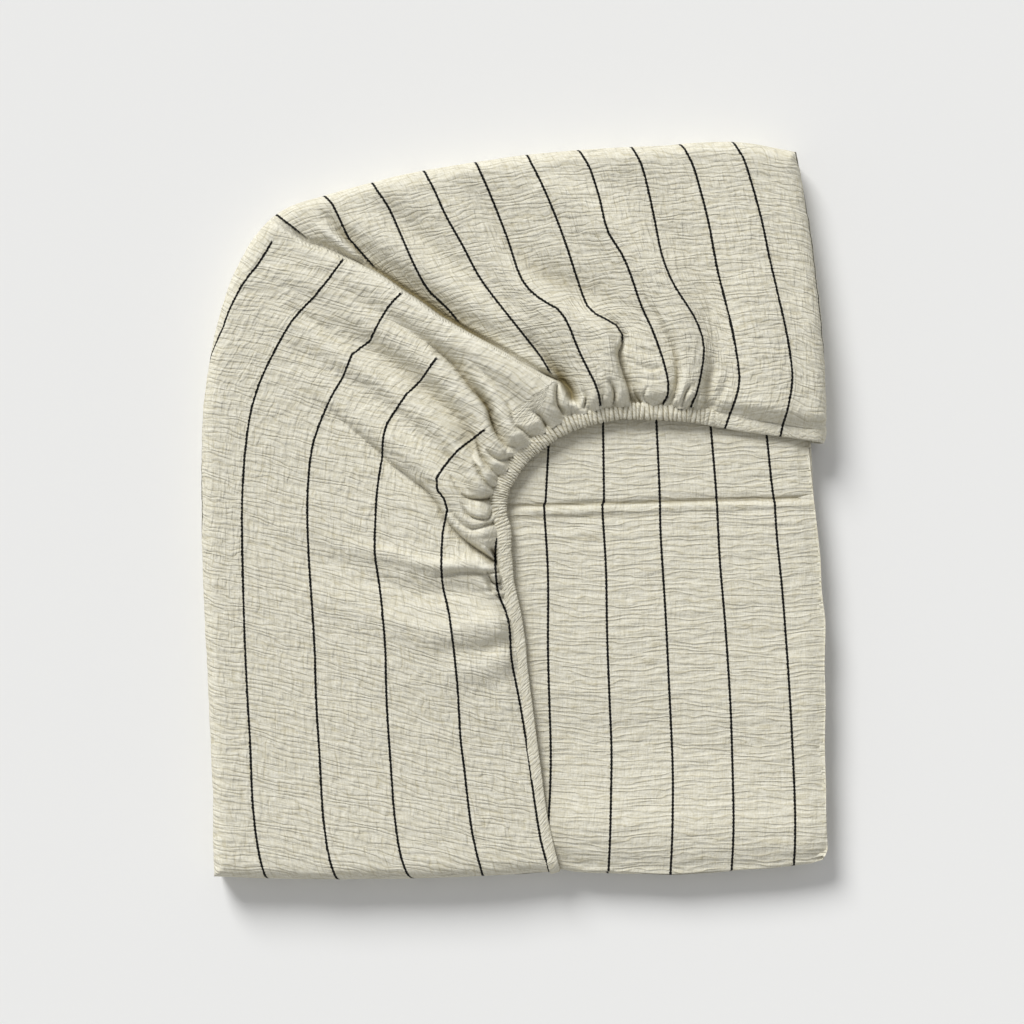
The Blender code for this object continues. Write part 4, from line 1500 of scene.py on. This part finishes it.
    def from_rim(self, plan: Array, outline: Array, out: Array) -> tuple[Array, Array]:
        """Finds the outline from the points of the top.

        Args:
            plan: the top seen from above, rows by columns.
            outline: the packet's outline.
            out: outward directions along it.

        Returns:
            Each point's distance from the outline, and the direction outwards there.
        """
        flat = plan.reshape(-1, 2)
        edge = np.zeros(plan.shape[:2], bool)
        rings = self.edge_rings
        edge[:rings] = edge[:, :rings] = edge[:, -rings:] = True
        edge = edge.reshape(-1)
        away, at_rim = np.zeros(len(flat)), np.zeros(len(flat))
        away[edge], _, at_rim[edge] = nearest(flat[edge], outline)
        away[~edge], _, _ = nearest(flat[~edge], outline[::5])
        return away, read_rows(at_rim, walked_along(outline), out)

    def walls(self, border: Array, first: int, outline: Array, out: Array) -> tuple[list, list, list, list]:
        """The walls, ring by ring from the rim down to the floor.

        Args:
            border: point numbers of the top's border.
            first: the first free point number.
            outline: the packet's outline.
            out: outward directions along it.

        Returns:
            The rings' points, their directions, where they lie with the wall rolled flat, and
            the walls' faces.
        """
        places, normals, unrolled, faces = [], [], [], []
        line = through(self.wall, np.linspace(0, len(self.wall) - 1, self.wall_rows + 1))
        for (inset, high), deep in zip(line[1:], walked_along(line)[1:]):
            places.append(np.column_stack([outline - inset * out, np.full(len(outline), high)]))
            normals.append(np.column_stack([out, np.zeros(len(outline))]))
            unrolled.append(outline + out * (deep + self.roll(self.rim_round)))
            below = np.arange(first, first + len(outline))
            faces += np.column_stack([border[:-1], below[:-1], below[1:], border[1:]]).tolist()
            border = below
            first += len(outline)
        return places, normals, unrolled, faces

    def grid(self) -> ClothGrid:
        """The corner's points and weave coordinates.

        Returns:
            The top, then the walls ring by ring.
        """
        plan, hem = self.plan()
        rows, columns = plan.shape[:2]
        flat = plan.reshape(-1, 2)
        outline = np.concatenate([plan[::-1, 0], plan[0, 1:], plan[1:, -1]])
        out = self.facing(outline)
        from_rim, face = self.from_rim(plan, outline, out)
        height, shade = self.relief(flat, from_rim, hem[::2])
        hollow = self.hollow(height.reshape(rows, columns), from_rim)
        # Painted shade and highlight: the creases' shade where it is larger, else the hollows' shade or the
        # crests' highlight.
        shade = np.where(shade > np.maximum(hollow, self.least_shade), shade, hollow)
        bent = np.clip(self.rim_round - from_rim, 0, self.rim_round)
        drop = self.rim_round - np.sqrt(self.rim_round**2 - bent**2)
        level = bent / self.rim_round
        index = np.arange(rows * columns).reshape(rows, columns)
        border = np.concatenate([index[::-1, 0], index[0, 1:], index[1:, -1]])
        walls, wall_normals, wall_unrolled, wall_faces = self.walls(border, rows * columns, outline, out)
        places = np.concatenate([np.column_stack([flat, height - drop]), *walls])
        normals = np.column_stack([face * level[:, None], np.sqrt(1 - level**2)])
        normals = np.concatenate([normals, *wall_normals])
        unrolled = np.concatenate([flat + face * self.roll(bent)[:, None], *wall_unrolled])
        unroll = partial(self.unroll, outline=outline, out=out)
        across, along, shown, room, crinkled = self.weave(unrolled, unroll)
        crinkled[:len(flat)] *= self.crinkled(flat, hem[::2])
        shade = np.append(shade, np.zeros(len(places) - len(shade)))
        puff = layered_noise(np.column_stack([across * STRIPE_PITCH, along]), self.puffs)
        places = places + normals * (self.puff * puff * fade(places[:, 2], *self.puff_levels))[:, None]
        faces = grid_faces(rows, columns) + wall_faces
        return ClothGrid("gathered_corner", places, faces, across, along, shown, room, shade, crinkled)


# === The elastic hem ============================================================================


@dataclass
class ElasticHem(ClothPiece):
    """The casing round the elastic: a flattened tube, ribbed where the elastic gathers it."""

    round_points: int = 22
    coarse_step: float = 0.9
    fine_step: float = 0.36
    fine_stretch: Pair = (70.0, 300.0)
    end_gap: int = 9
    line: tuple[Pair, ...] = (
        (186.9, 45.9), (166.5, 48.9), (150.3, 51), (134.1, 53.1), (118.5, 56.1), (111.3, 57.6),
        (102.3, 58.8), (90.3, 59.7), (75.3, 60), (63.3, 60), (51.3, 58.2), (39.3, 54.9),
        (27.3, 50.1), (17.1, 43.5), (7.5, 35.7), (-0.9, 26.1), (-6.9, 16.5), (-9.6, 6.9),
        (-9, -2.1), (-6.9, -11.1), (-6.6, -21.9), (-5.7, -32.1), (-4.5, -42.9), (-2.1, -53.1),
        (0.3, -63.3), (2.7, -77.1), (4.5, -95.1), (7.5, -117.3), (11.1, -144.9), (15.9, -179.1),
        (20.1, -200.1), (24.6, -217),
    )
    # By distance along the line: half the width, half the height, how deep the ribs are, how far
    # apart they are, and how much they slant.
    stations: tuple[tuple[float, ...], ...] = (
        # along, half_width, half_height, rib_depth, rib_gap, slant
        (0.0, 5.0, 1.3, 0.10, 4.0, 0.3),
        (62.0, 4.9, 1.5, 0.16, 4.0, 0.3),
        (78.0, 4.8, 2.4, 0.90, 2.7, 0.1),
        (150.0, 5.0, 2.9, 1.30, 2.4, -0.1),
        (176.0, 5.1, 3.0, 1.20, 2.0, 0.2),
        (192.0, 5.1, 3.0, 1.00, 1.7, 0.1),
        (226.0, 5.0, 2.8, 1.00, 1.7, 0.1),
        (240.0, 4.7, 2.5, 0.60, 1.8, 0.5),
        (285.0, 4.2, 2.2, 0.35, 2.2, 0.9),
        (306.0, 3.7, 1.4, 0.25, 3.0, 1.4),
        (340.0, 3.4, 1.2, 0.22, 3.6, 1.8),
        (448.0, 3.3, 1.2, 0.15, 4.0, 1.8),
    )
    # Over the packet's edge and down to the floor: how far in from the edge, how high, and the
    # tilt of the flat side in degrees.
    way_down: tuple[Triple, ...] = (
        (8.0, 22.8, 4.0), (5.5, 22.2, 18.0), (3.2, 20.9, 36.0), (1.5, 18.6, 58.0), (0.6, 15.4, 78.0),
        (0.4, 11.5, 90.0), (0.6, 7.8, 96.0), (1.4, 4.4, 112.0), (3.2, 1.9, 140.0), (6.0, 1.45, 170.0),
    )
    down_points: int = 46
    down_right: Pair = (-30.0, 8.5)
    down_front: Pair = (0.5, 38.0)
    lowest: float = 0.25
    uneven_gap: float = 0.28
    puff: float = 0.35
    wander: float = 0.5
    # The stripes of the band cross the casing's flat part only; from there on it has its own axes.
    stripes_end: Pair = (80.0, 72.0)
    own_axes_from: float = 84.0

    def spine(self) -> tuple[Array, Array, Array, Array]:
        """The casing's middle line, from the floor at the right, over the packet, to the floor.

        Returns:
            Its points, the directions that its flat side faces, distances along the hem, and
            which points lie on the top.
        """
        line = evenly(np.array(self.line), 1.0)
        walked = walked_along(line)
        first, last, end = *self.fine_stretch, walked[-1] - self.end_gap
        marks = np.concatenate([
            np.arange(self.end_gap, first, self.coarse_step),
            np.arange(first, last, self.fine_step),
            np.arange(last, end, self.coarse_step),
        ])
        top = np.column_stack([read_rows(marks, walked, line), hem_height(marks)])
        right = self.turn_down(line[0], unit(line[0] - line[self.end_gap]))[::-1]
        front = self.turn_down(line[-1], unit(line[-1] - line[-1 - self.end_gap]))
        spine = np.vstack([right[:, :3], top, front[:, :3]])
        face = np.vstack([right[:, 3:], np.tile([0.0, 0.0, 1.0], (len(top), 1)), front[:, 3:]])
        before = np.linspace(*self.down_right, len(right))
        along = np.concatenate([before, marks, end + np.linspace(*self.down_front, len(front))])
        on_top = np.zeros(len(spine), bool)
        on_top[len(right):len(right) + len(top)] = True
        return spine, face, along, on_top

    def turn_down(self, corner: Array, out: Array) -> Array:
        """The casing's way over the packet's edge and down to the floor.

        Args:
            corner: where the hem meets the outline, seen from above.
            out: the direction outwards.

        Returns:
            Rows of a point and the direction that the flat side faces.
        """
        rows = []
        for inset, high, tilt in self.way_down:
            angle = math.radians(tilt)
            rows.append((*(corner - out * inset), high, *(out * math.sin(angle)), math.cos(angle)))
        return through(np.array(rows), np.linspace(0, len(rows) - 1, self.down_points))

    def ribs(self, along: Array, gap: Array, slant: Array, turn: Array) -> tuple[Array, Array]:
        """The ribs that the elastic gathers.

        Args:
            along: distances along the casing.
            gap: distance between ribs there.
            slant: how much they slant there.
            turn: angles round the casing.

        Returns:
            Their even form, and the same with uneven strength and a rough surface, both for each
            place along the casing and each angle.
        """
        uneven = 1 + self.uneven_gap * noise_along(along, 5.0, 21)
        phase = np.cumsum(np.gradient(along) / gap * uneven)
        lateral = np.cos(turn)
        sway = 0.22 * np.sin(phase * 1.7)
        rib_at = phase[:, None] + slant[:, None] * lateral[None] + sway[:, None] * lateral
        rib = np.abs(np.sin(math.pi * rib_at)) ** 0.65 - 0.6
        strength = 0.75 + 0.45 * noise_along(phase * 2.0, 1.6, 22)
        spots = np.column_stack([np.repeat(along, len(turn)), np.tile(turn, len(along)) * 2])
        rough = soft_noise(spots, (1.4, 1.2), 23).reshape(rib.shape)
        return rib, rib * strength[:, None] + 0.3 * rough

    def grid(self) -> ClothGrid:
        """The casing's points and weave coordinates.

        Returns:
            Rings of points round the spine, closed at both ends.
        """
        spine, face, along, on_top = self.spine()
        table = np.array(self.stations)
        wide, high, depth, gap, slant = read_rows(along, table[:, 0], table[:, 1:]).T
        way = unit(np.gradient(spine, axis=0))
        face = unit(face - (face * way).sum(axis=1)[:, None] * way)
        side = np.cross(face, way)
        turn = np.linspace(0, 2 * math.pi, self.round_points, endpoint=False)
        lateral, upward = np.cos(turn), np.sin(turn)
        bulge = np.sign(upward) * np.abs(upward) ** 0.75
        rib, swell = self.ribs(along, gap, slant, turn)
        swell = swell * depth[:, None]
        gathered = depth * 1.2
        wave = self.puff * noise_along(along, 7.0, 24) * np.clip(gathered, 0.25, 1)
        across = (wide[:, None] + wave[:, None] + swell) * lateral[None]
        rise = (high[:, None] + swell) * bulge[None]
        aside = self.wander * noise_along(along, 19.0, 25) * np.clip(gathered, 0, 1)
        centre = spine + side * aside[:, None]
        places = centre[:, None] + side[:, None] * across[..., None] + face[:, None] * rise[..., None]
        places[..., 2] = np.maximum(places[..., 2], self.lowest)
        count, last = len(turn), (len(spine) - 1) * len(turn)
        faces = grid_faces(len(spine), count, wrap=True)
        faces += [tuple(range(count - 1, -1, -1)), tuple(range(last, last + count))]
        flat = places.reshape(-1, 3)
        stripes, run, shown, room = BAND_STRIPES.place(flat[:, :2])
        shown = shown * np.repeat(fade(along, *self.stripes_end) * on_top, count)
        own = np.repeat(along > self.own_axes_from, count)
        lean = (along[:, None] + 0.7 * across).ravel()
        stripes = np.where(own, across.ravel() / STRIPE_PITCH + 0.5, stripes)
        # Painted shade in the valleys between the gathered ribs.
        shade = smooth_step(-(rib - 0.1) * 1.6 * np.clip(depth, 0, 1)[:, None]).ravel()
        return ClothGrid("elastic_hem", flat, faces, stripes, np.where(own, lean, run), shown, room, shade,
                         np.ones(len(flat)))


# === The folded layers ==========================================================================


@dataclass
class FoldedLayers(ClothPiece):
    """The doubled cloth, back and forth in six layers, as one open sheet folded along its right."""

    flat_cut: Pair = (0.73, 2.60)
    thick: float = 2.4
    pitch: float = 3.5
    layers: int = 6
    # The grid: fine where the panel shows, and coarse where the corner or a layer hides it.
    left_x: float = -182.0
    right_x: float = 186.6
    fine_step: float = 1.15
    hidden_columns: int = 12
    inner_columns: int = 24
    shown_left: float = -16.0
    shown_back: float = 62.0
    back_stretch: Pair = (80.0, 3.0)
    back_rows: int = 8
    hidden_rows: int = 9
    front_turn: int = 12
    back_turn: int = 6
    right_turn: int = 7
    front_edge: tuple[Pair, ...] = (
        (-190, -213.5), (12, -213.5), (40, -217.6), (99, -219.6), (147, -216.4), (172, -214.6),
        (182, -213), (190, -209.5),
    )
    right_edge: tuple[Pair, ...] = (
        (-222, 178), (-214, 183.6), (-203, 187.9), (-150, 186.4), (-65, 186.4), (-29, 184),
        (7, 179.8), (40, 176.8), (60, 180.2), (80, 180), (127, 177.6), (163, 174.6), (198, 168.5),
        (222, 164),
    )
    left_edge: tuple[Pair, ...] = (
        (-222, -174), (-120, -177.5), (20, -182), (60, -181.5), (90, -178.6), (120, -172),
        (150, -159.5), (166, -150), (222, -150),
    )
    back_edge: tuple[Pair, ...] = (
        (-190, 151), (-160, 159.5), (-150, 166), (-140, 173), (-120, 182), (-100, 189),
        (-60, 199.5), (-20, 206.5), (30, 212), (100, 216.5), (140, 217), (165, 210.5), (190, 203),
    )
    # How far each layer stays back from the edge: at the right, and at its front or back fold.
    right_in: tuple[float, ...] = (0.6, 3.4, 1.2, 4.0, 0.4, 0.0)
    fold_in: tuple[float, ...] = (2.0, 3.0, 0.0, 1.0, 1.4)
    # Rounding of the panel's edges: how far down they roll, and from how far in.
    right_roll: Pair = (-2.0, 13.0)
    front_roll: Pair = (-2.4, 15.0)
    # Uneven turns at the front and back, and an uneven right-hand edge.
    loose_turn: float = 0.55
    loose_edge: float = 0.7
    loose_reach: float = 9.0
    # The tuck across the panel: its crease's ends, then its other creases by their distance.
    tuck: tuple[Pair, Pair] = ((6.0, 3.6), (176.0, 8.4))
    second_crease: float = 7.2
    third_crease: float = 12.5
    # Soft rises and hollows of the panel: middle x and y, reach in x and y, height.
    waves: tuple[tuple[float, ...], ...] = (
        (75.0, -146.0, 120.0, 22.0, -1.5),
        (60.0, -128.0, 50.0, 14.0, -0.9),
        (95.0, -192.0, 140.0, 15.0, 2.2),
        (40.0, -186.0, 26.0, 12.0, 0.9),
        (150.0, -120.0, 40.0, 22.0, 0.4),
        (90.0, -60.0, 60.0, 30.0, 0.4),
        (20.0, -70.0, 20.0, 50.0, -0.5),
        (172.0, -30.0, 14.0, 50.0, -0.6),
    )
    # Puffs of the crinkled cloth: height, size across and along, and seed.
    puffs: tuple[tuple[float, Pair, int], ...] = (
        (0.24, (14.0, 4.0), 44), (0.12, (8.0, 2.2), 45), (0.35, (42.0, 24.0), 46),
    )
    # Painted shadow close under the casing: its strength and its reach.
    under_casing_shade: float = 0.2
    under_casing_shade_reach: float = 9.0
    # Weave axes inside the packet: stripes that each layer lies to the side, and how far on it is.
    drift: tuple[float, ...] = (0.11, 0.07, -0.06, 0.05, 0.0, 0.0)
    hidden_on: float = 400.0
    measured_column: int = 40
    row_rise: float = 0.6

    def corner_y(self, share: Array) -> Array:
        """Finds where columns meet the back edge.

        Args:
            share: the columns' places, as shares of the packet's width.

        Returns:
            y of each column's back end.
        """
        y = np.full(len(share), self.back_edge[0][1])
        for _ in range(30):
            low, high = read(self.left_edge, y), read(self.right_edge, y)
            y = (y + read(self.back_edge, low + share * (high - low))) / 2
        return y

    def column_shares(self) -> Array:
        """Places the columns, fine where the panel shows.

        Returns:
            Their places, from 0 at the left edge to 1 at the right edge.
        """
        hidden = np.linspace(self.left_x, self.shown_left, self.hidden_columns + 1)[:-1]
        shown = np.arange(self.shown_left, self.right_x, self.fine_step)
        from_left = np.concatenate([hidden, shown, [self.right_x]]) - self.left_x
        return from_left / (self.right_x - self.left_x)

    def section(self, x: float, back: float) -> tuple[Array, Array]:
        """The strip's middle line at one x, from the bottom layer up.

        Args:
            x: where the section is cut.
            back: y of the back edge there.

        Returns:
            Its (y, z) points, and the layer of each with fractions round the folds.
        """
        front = float(read(self.front_edge, x))
        radius = self.pitch / 2
        line, marks = [], []
        start = back
        for layer in range(self.layers - 1):
            z = self.thick / 2 + layer * self.pitch
            inset = self.fold_in[layer] + radius + self.thick / 2
            if layer % 2 == 0:
                end, side, steps = front + inset, -1, self.front_turn
            else:
                end, side, steps = back - inset, 1, self.back_turn
            line += [(y, z) for y in np.linspace(start, end, self.hidden_rows)]
            marks += [float(layer)] * self.hidden_rows
            for step in range(1, steps):
                turn = math.pi * step / steps
                line.append((end + side * radius * math.sin(turn), z + radius - radius * math.cos(turn)))
                marks.append(layer + step / steps)
            start = end
        fine = int(round((self.shown_back - start) / self.fine_step))
        behind, stop = self.back_stretch
        hidden = np.linspace(behind, back - stop, self.back_rows)
        ys = np.append(np.linspace(start, self.shown_back, fine), hidden)
        line += [(y, self.thick / 2 + (self.layers - 1) * self.pitch) for y in ys]
        marks += [float(self.layers - 1)] * len(ys)
        return np.array(line), np.array(marks)

    def strip(self) -> tuple[Array, Array, Array, Array, Array, Array]:
        """The doubled cloth before its relief, both skins of it, folded back and forth.

        Returns:
            x, y and z of its points, rows by columns; the skin that each column is on, from -1 on
            the side that shows on top to 1 on the other; the middle line's y; the layer of each row.
        """
        share = self.column_shares()
        guide_x = self.left_x + share * (self.right_x - self.left_x)
        sections = [self.section(x, back) for x, back in zip(guide_x, self.corner_y(share))]
        rows = min(len(line) for line, _ in sections)
        marks = sections[0][1][:rows]
        place = np.linspace(0, 1, rows)
        even = [read_rows(place, np.linspace(0, 1, len(line)), line) for line, _ in sections]
        y, z = np.array(even).transpose(2, 1, 0)
        way_y, way_z = np.gradient(y, axis=0), np.gradient(z, axis=0)
        long = np.hypot(way_y, way_z)
        right_in = np.interp(marks, range(self.layers), self.right_in)[:, None]
        low, high = read(self.left_edge, y), read(self.right_edge, y) - right_in
        half = self.thick / 2
        x = low + share[None] * (high - half - low)
        last = len(share) - 1
        inner = np.unique(np.linspace(0, last, self.inner_columns).astype(int))
        turns = [(column, 0.0) for column in inner]
        turns += [(last, math.pi * step / self.right_turn) for step in range(1, self.right_turn)]
        turns += [(column, math.pi) for column in range(last, -1, -1)]
        column = np.array([column for column, _ in turns])
        skin = np.cos([angle for _, angle in turns])
        px = x[:, column] + half * np.sin([angle for _, angle in turns])
        py = y[:, column] + half * skin * (way_z / long)[:, column]
        pz = z[:, column] + half * skin * (-way_y / long)[:, column]
        return px, py, pz, skin, y, marks

    def from_tuck(self, x: Array, y: Array) -> Array:
        """How far up the panel places lie from the tuck's crease."""
        (left_x, left_y), (right_x, right_y) = self.tuck
        return y - left_y - (right_y - left_y) / (right_x - left_x) * (x - left_x)

    def shade(self, x: Array, y: Array) -> Array:
        """Painted shade: how deep in the tuck's creases places lie, and a painted shadow close under the
        casing; the larger of the two.

        Args:
            x, y: the places, seen from above.

        Returns:
            Values from 0 to 1.
        """
        away = self.from_tuck(x, y)
        first = 0.75 * bell(away - 0.2, 1.0)
        second = 0.34 * bell(away + self.second_crease, 1.2) * fade(x, 130, 40)
        hem = through([row[:2] for row in SECTIONS], np.linspace(0, len(SECTIONS) - 1, 90))
        from_hem, _, _ = nearest(np.column_stack([x.ravel(), y.ravel()]), hem)
        casing_shade = self.under_casing_shade * bell(from_hem, self.under_casing_shade_reach)
        return np.maximum((first + second) * fade(x, -14, 2), casing_shade.reshape(x.shape))

    @staticmethod
    def cut(off: Array, above: float, below: float) -> Array:
        """A crease's depth, which falls off over `above` on its upper side and `below` on the other."""
        return np.exp(-((np.abs(off) / np.where(off > 0, above, below)) ** 1.2))

    def relief(self, x: Array, y: Array) -> Array:
        """Heights of the panel over its mean.

        Args:
            x, y: the places, seen from above.

        Returns:
            The height of each in millimetres.
        """
        away = self.from_tuck(x, y)
        second = away + self.second_crease + 0.7 * noise_along(x, 16.0, 41)
        third = away + self.third_crease + 1.2 * noise_along(x, 19.0, 49)
        tuck = -1.9 * self.cut(away + 0.5 * noise_along(x, 13.0, 40), 1.3, 2.2)
        tuck += 0.9 * bell(away + 3.4, 2.4)
        tuck -= self.cut(second, 1.0, 3.2) * (0.35 + 0.65 * fade(x, 130, 40))
        tuck -= 0.5 * self.cut(third, 0.8, 2.6) * fade(x, 60, 20)
        ripples = noise_along(y + 1.1 * noise_along(x, 14.0, 42), 1.9, 43)
        tuck += 0.42 * bell(away + 14, 16) * ripples
        height = tuck * fade(x, -14, 2)
        for mid_x, mid_y, reach_x, reach_y, rise in self.waves:
            height += rise * bell(x - mid_x, reach_x) * bell(y - mid_y, reach_y)
        return height + layered_noise(np.column_stack([x, y]), self.puffs)

    def grid(self) -> ClothGrid:
        """The layers' points and weave coordinates.

        Returns:
            Rows along the folded strip, each round both skins of the doubled cloth.
        """
        px, py, pz, skin, y, marks = self.strip()
        rows, columns = px.shape
        top = smooth_step((marks - (self.layers - 2) - 0.35) / 0.6)[:, None]
        outer = smooth_step(-skin)
        flat_x, flat_y, layer = px.ravel(), py.ravel(), np.repeat(marks, columns)
        from_right = px.max(axis=1)[:, None] - px
        (right_down, right_reach), (front_down, front_reach) = self.right_roll, self.front_roll
        rolled = right_down * (1 - smooth_step(from_right / right_reach))
        droop = front_down * (1 - smooth_step((py - py.min(axis=0)[None]) / front_reach))
        rise = self.relief(flat_x, flat_y).reshape(px.shape)
        pz = pz + top * outer * (rise + rolled + droop)
        loose = soft_noise(np.column_stack([flat_x, layer * 31]), (17.0, 9.0), 47).reshape(px.shape)
        py = py + (np.abs(marks - np.round(marks))[:, None] > 0.01) * loose * self.loose_turn
        loose = soft_noise(np.column_stack([flat_y, layer * 37]), (23.0, 7.0), 48).reshape(px.shape)
        px = px + self.loose_edge * loose * smooth_step(1 - from_right / self.loose_reach)
        places = np.column_stack([px.ravel(), py.ravel(), pz.ravel()])
        across, along, shown, room = self.weave(px, py, y, marks, skin)
        # Painted shade in the tuck's creases and close under the casing, on the panel's top only.
        shade = (top * outer * self.shade(px, py)).ravel()
        faces = grid_faces(rows, columns)
        return ClothGrid("folded_layers", places, faces, across, along, shown, room, shade,
                         np.ones(len(places)))

    def weave(self, px: Array, py: Array, y: Array, marks: Array, skin: Array) -> tuple[Array, ...]:
        """Weave coordinates of the whole strip.

        Args:
            px, py: the points seen from above, rows by columns.
            y: the middle line's y.
            marks: the layer of each row.
            skin: -1 on the side that shows on top, 1 on the other.

        Returns:
            Across, along, shown and the distance between stripes, all flattened.
        """
        across, along, shown, room = PANEL_STRIPES.place(np.column_stack([px.ravel(), py.ravel()]))
        steps = np.hypot(np.diff(y[:, self.measured_column]), self.row_rise)
        walked = np.append(0, np.cumsum(steps))[:, None]
        drift = np.interp(marks, range(self.layers), self.drift)
        across = across.reshape(px.shape) + drift[:, None]
        hidden = (marks < self.layers - 1.5)[:, None]
        along = np.where(hidden, walked + self.hidden_on, along.reshape(px.shape))
        turned = 2 * across.max(axis=1)[:, None] - across
        across = np.where(skin > 0.2, turned, across)
        return across.ravel(), along.ravel(), shown, room


# === Studio =====================================================================================


@dataclass
class Studio:
    """A pale floor, soft light from the back and a camera straight above."""

    eye: Pair = (-1.74, -0.87)
    view_width: float = 614.4
    view_level: float = 20.0
    lens: float = 85.0
    sensor: float = 36.0
    floor_size: float = 6.0
    floor_points: int = 24
    floor_flat: float = 0.8
    floor_rise: float = 0.2
    key_strength: float = 3.15
    key_spread: float = 0.42
    key_from: Triple = (-0.45, 0.85, 0.64)
    sky: Colour = (1.0, 1.0, 1.0, 1.0)
    sky_strength: float = 0.42

    def build(self) -> None:
        """Makes the floor, the lights and the camera."""
        self.floor()
        self.lights()
        self.camera()

    def floor(self) -> None:
        """The pale floor, a grid that curves up far away."""
        share = np.linspace(-1, 1, self.floor_points)
        x, y = np.meshgrid(share * self.floor_size, share * self.floor_size)
        far = np.maximum(np.hypot(x, y) - self.floor_size * self.floor_flat, 0)
        places = np.column_stack([x.ravel(), y.ravel(), (far**2 * self.floor_rise).ravel()])
        mesh = bpy.data.meshes.new("floor")
        mesh.from_pydata(places, [], grid_faces(self.floor_points, self.floor_points))
        mesh.materials.append(FloorFinish().material())
        mesh.shade_smooth()
        made = bpy.data.objects.new("floor", mesh)
        bpy.context.scene.collection.objects.link(made)

    def lights(self) -> None:
        """The soft key from the back and left, and the pale sky."""
        data = bpy.data.lights.new("key", "SUN")
        data.energy = self.key_strength
        data.angle = self.key_spread
        made = bpy.data.objects.new("key", data)
        made.location = self.key_from
        made.rotation_euler = made.location.to_track_quat("Z", "Y").to_euler()
        bpy.context.scene.collection.objects.link(made)
        world = bpy.data.worlds.new("studio")
        world.use_nodes = True
        sky = world.node_tree.nodes["Background"]
        sky.inputs["Color"].default_value = self.sky
        sky.inputs["Strength"].default_value = self.sky_strength
        bpy.context.scene.world = world

    def camera(self) -> None:
        """The camera, straight above the packet."""
        data = bpy.data.cameras.new("above")
        data.lens = self.lens
        data.sensor_width = self.sensor
        made = bpy.data.objects.new("above", data)
        height = self.view_width / 2 / (self.sensor / 2 / self.lens) + self.view_level
        made.location = (self.eye[0] * MM, self.eye[1] * MM, height * MM)
        bpy.context.scene.collection.objects.link(made)
        bpy.context.scene.camera = made
        bpy.context.scene.view_settings.view_transform = "Standard"


# === The whole sheet ============================================================================


def main() -> None:
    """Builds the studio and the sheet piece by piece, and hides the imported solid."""
    logging.basicConfig(level=logging.INFO, format="%(name)s: %(message)s")
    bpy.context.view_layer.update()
    Studio().build()
    effects = Effects()
    layers = FoldedLayers(GauzeFinish("panel_gauze", cross=0.5))
    corner = GatheredCorner(GauzeFinish("corner_gauze", gap=3.2, length=18.0, cross=1.15))
    hem = ElasticHem(GauzeFinish("casing_gauze", gap=2.6, length=7.0, cross=0.7, crinkle_depth=0.4,
                                 crease_shade_share=0.45))
    for piece in (layers, corner, hem):
        built = piece.build(effects)
        LOG.info("%s: %d faces", built.name, len(built.data.polygons))
    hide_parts(SOLID)
    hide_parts(SOLID)


if __name__ == "__main__":
    main()
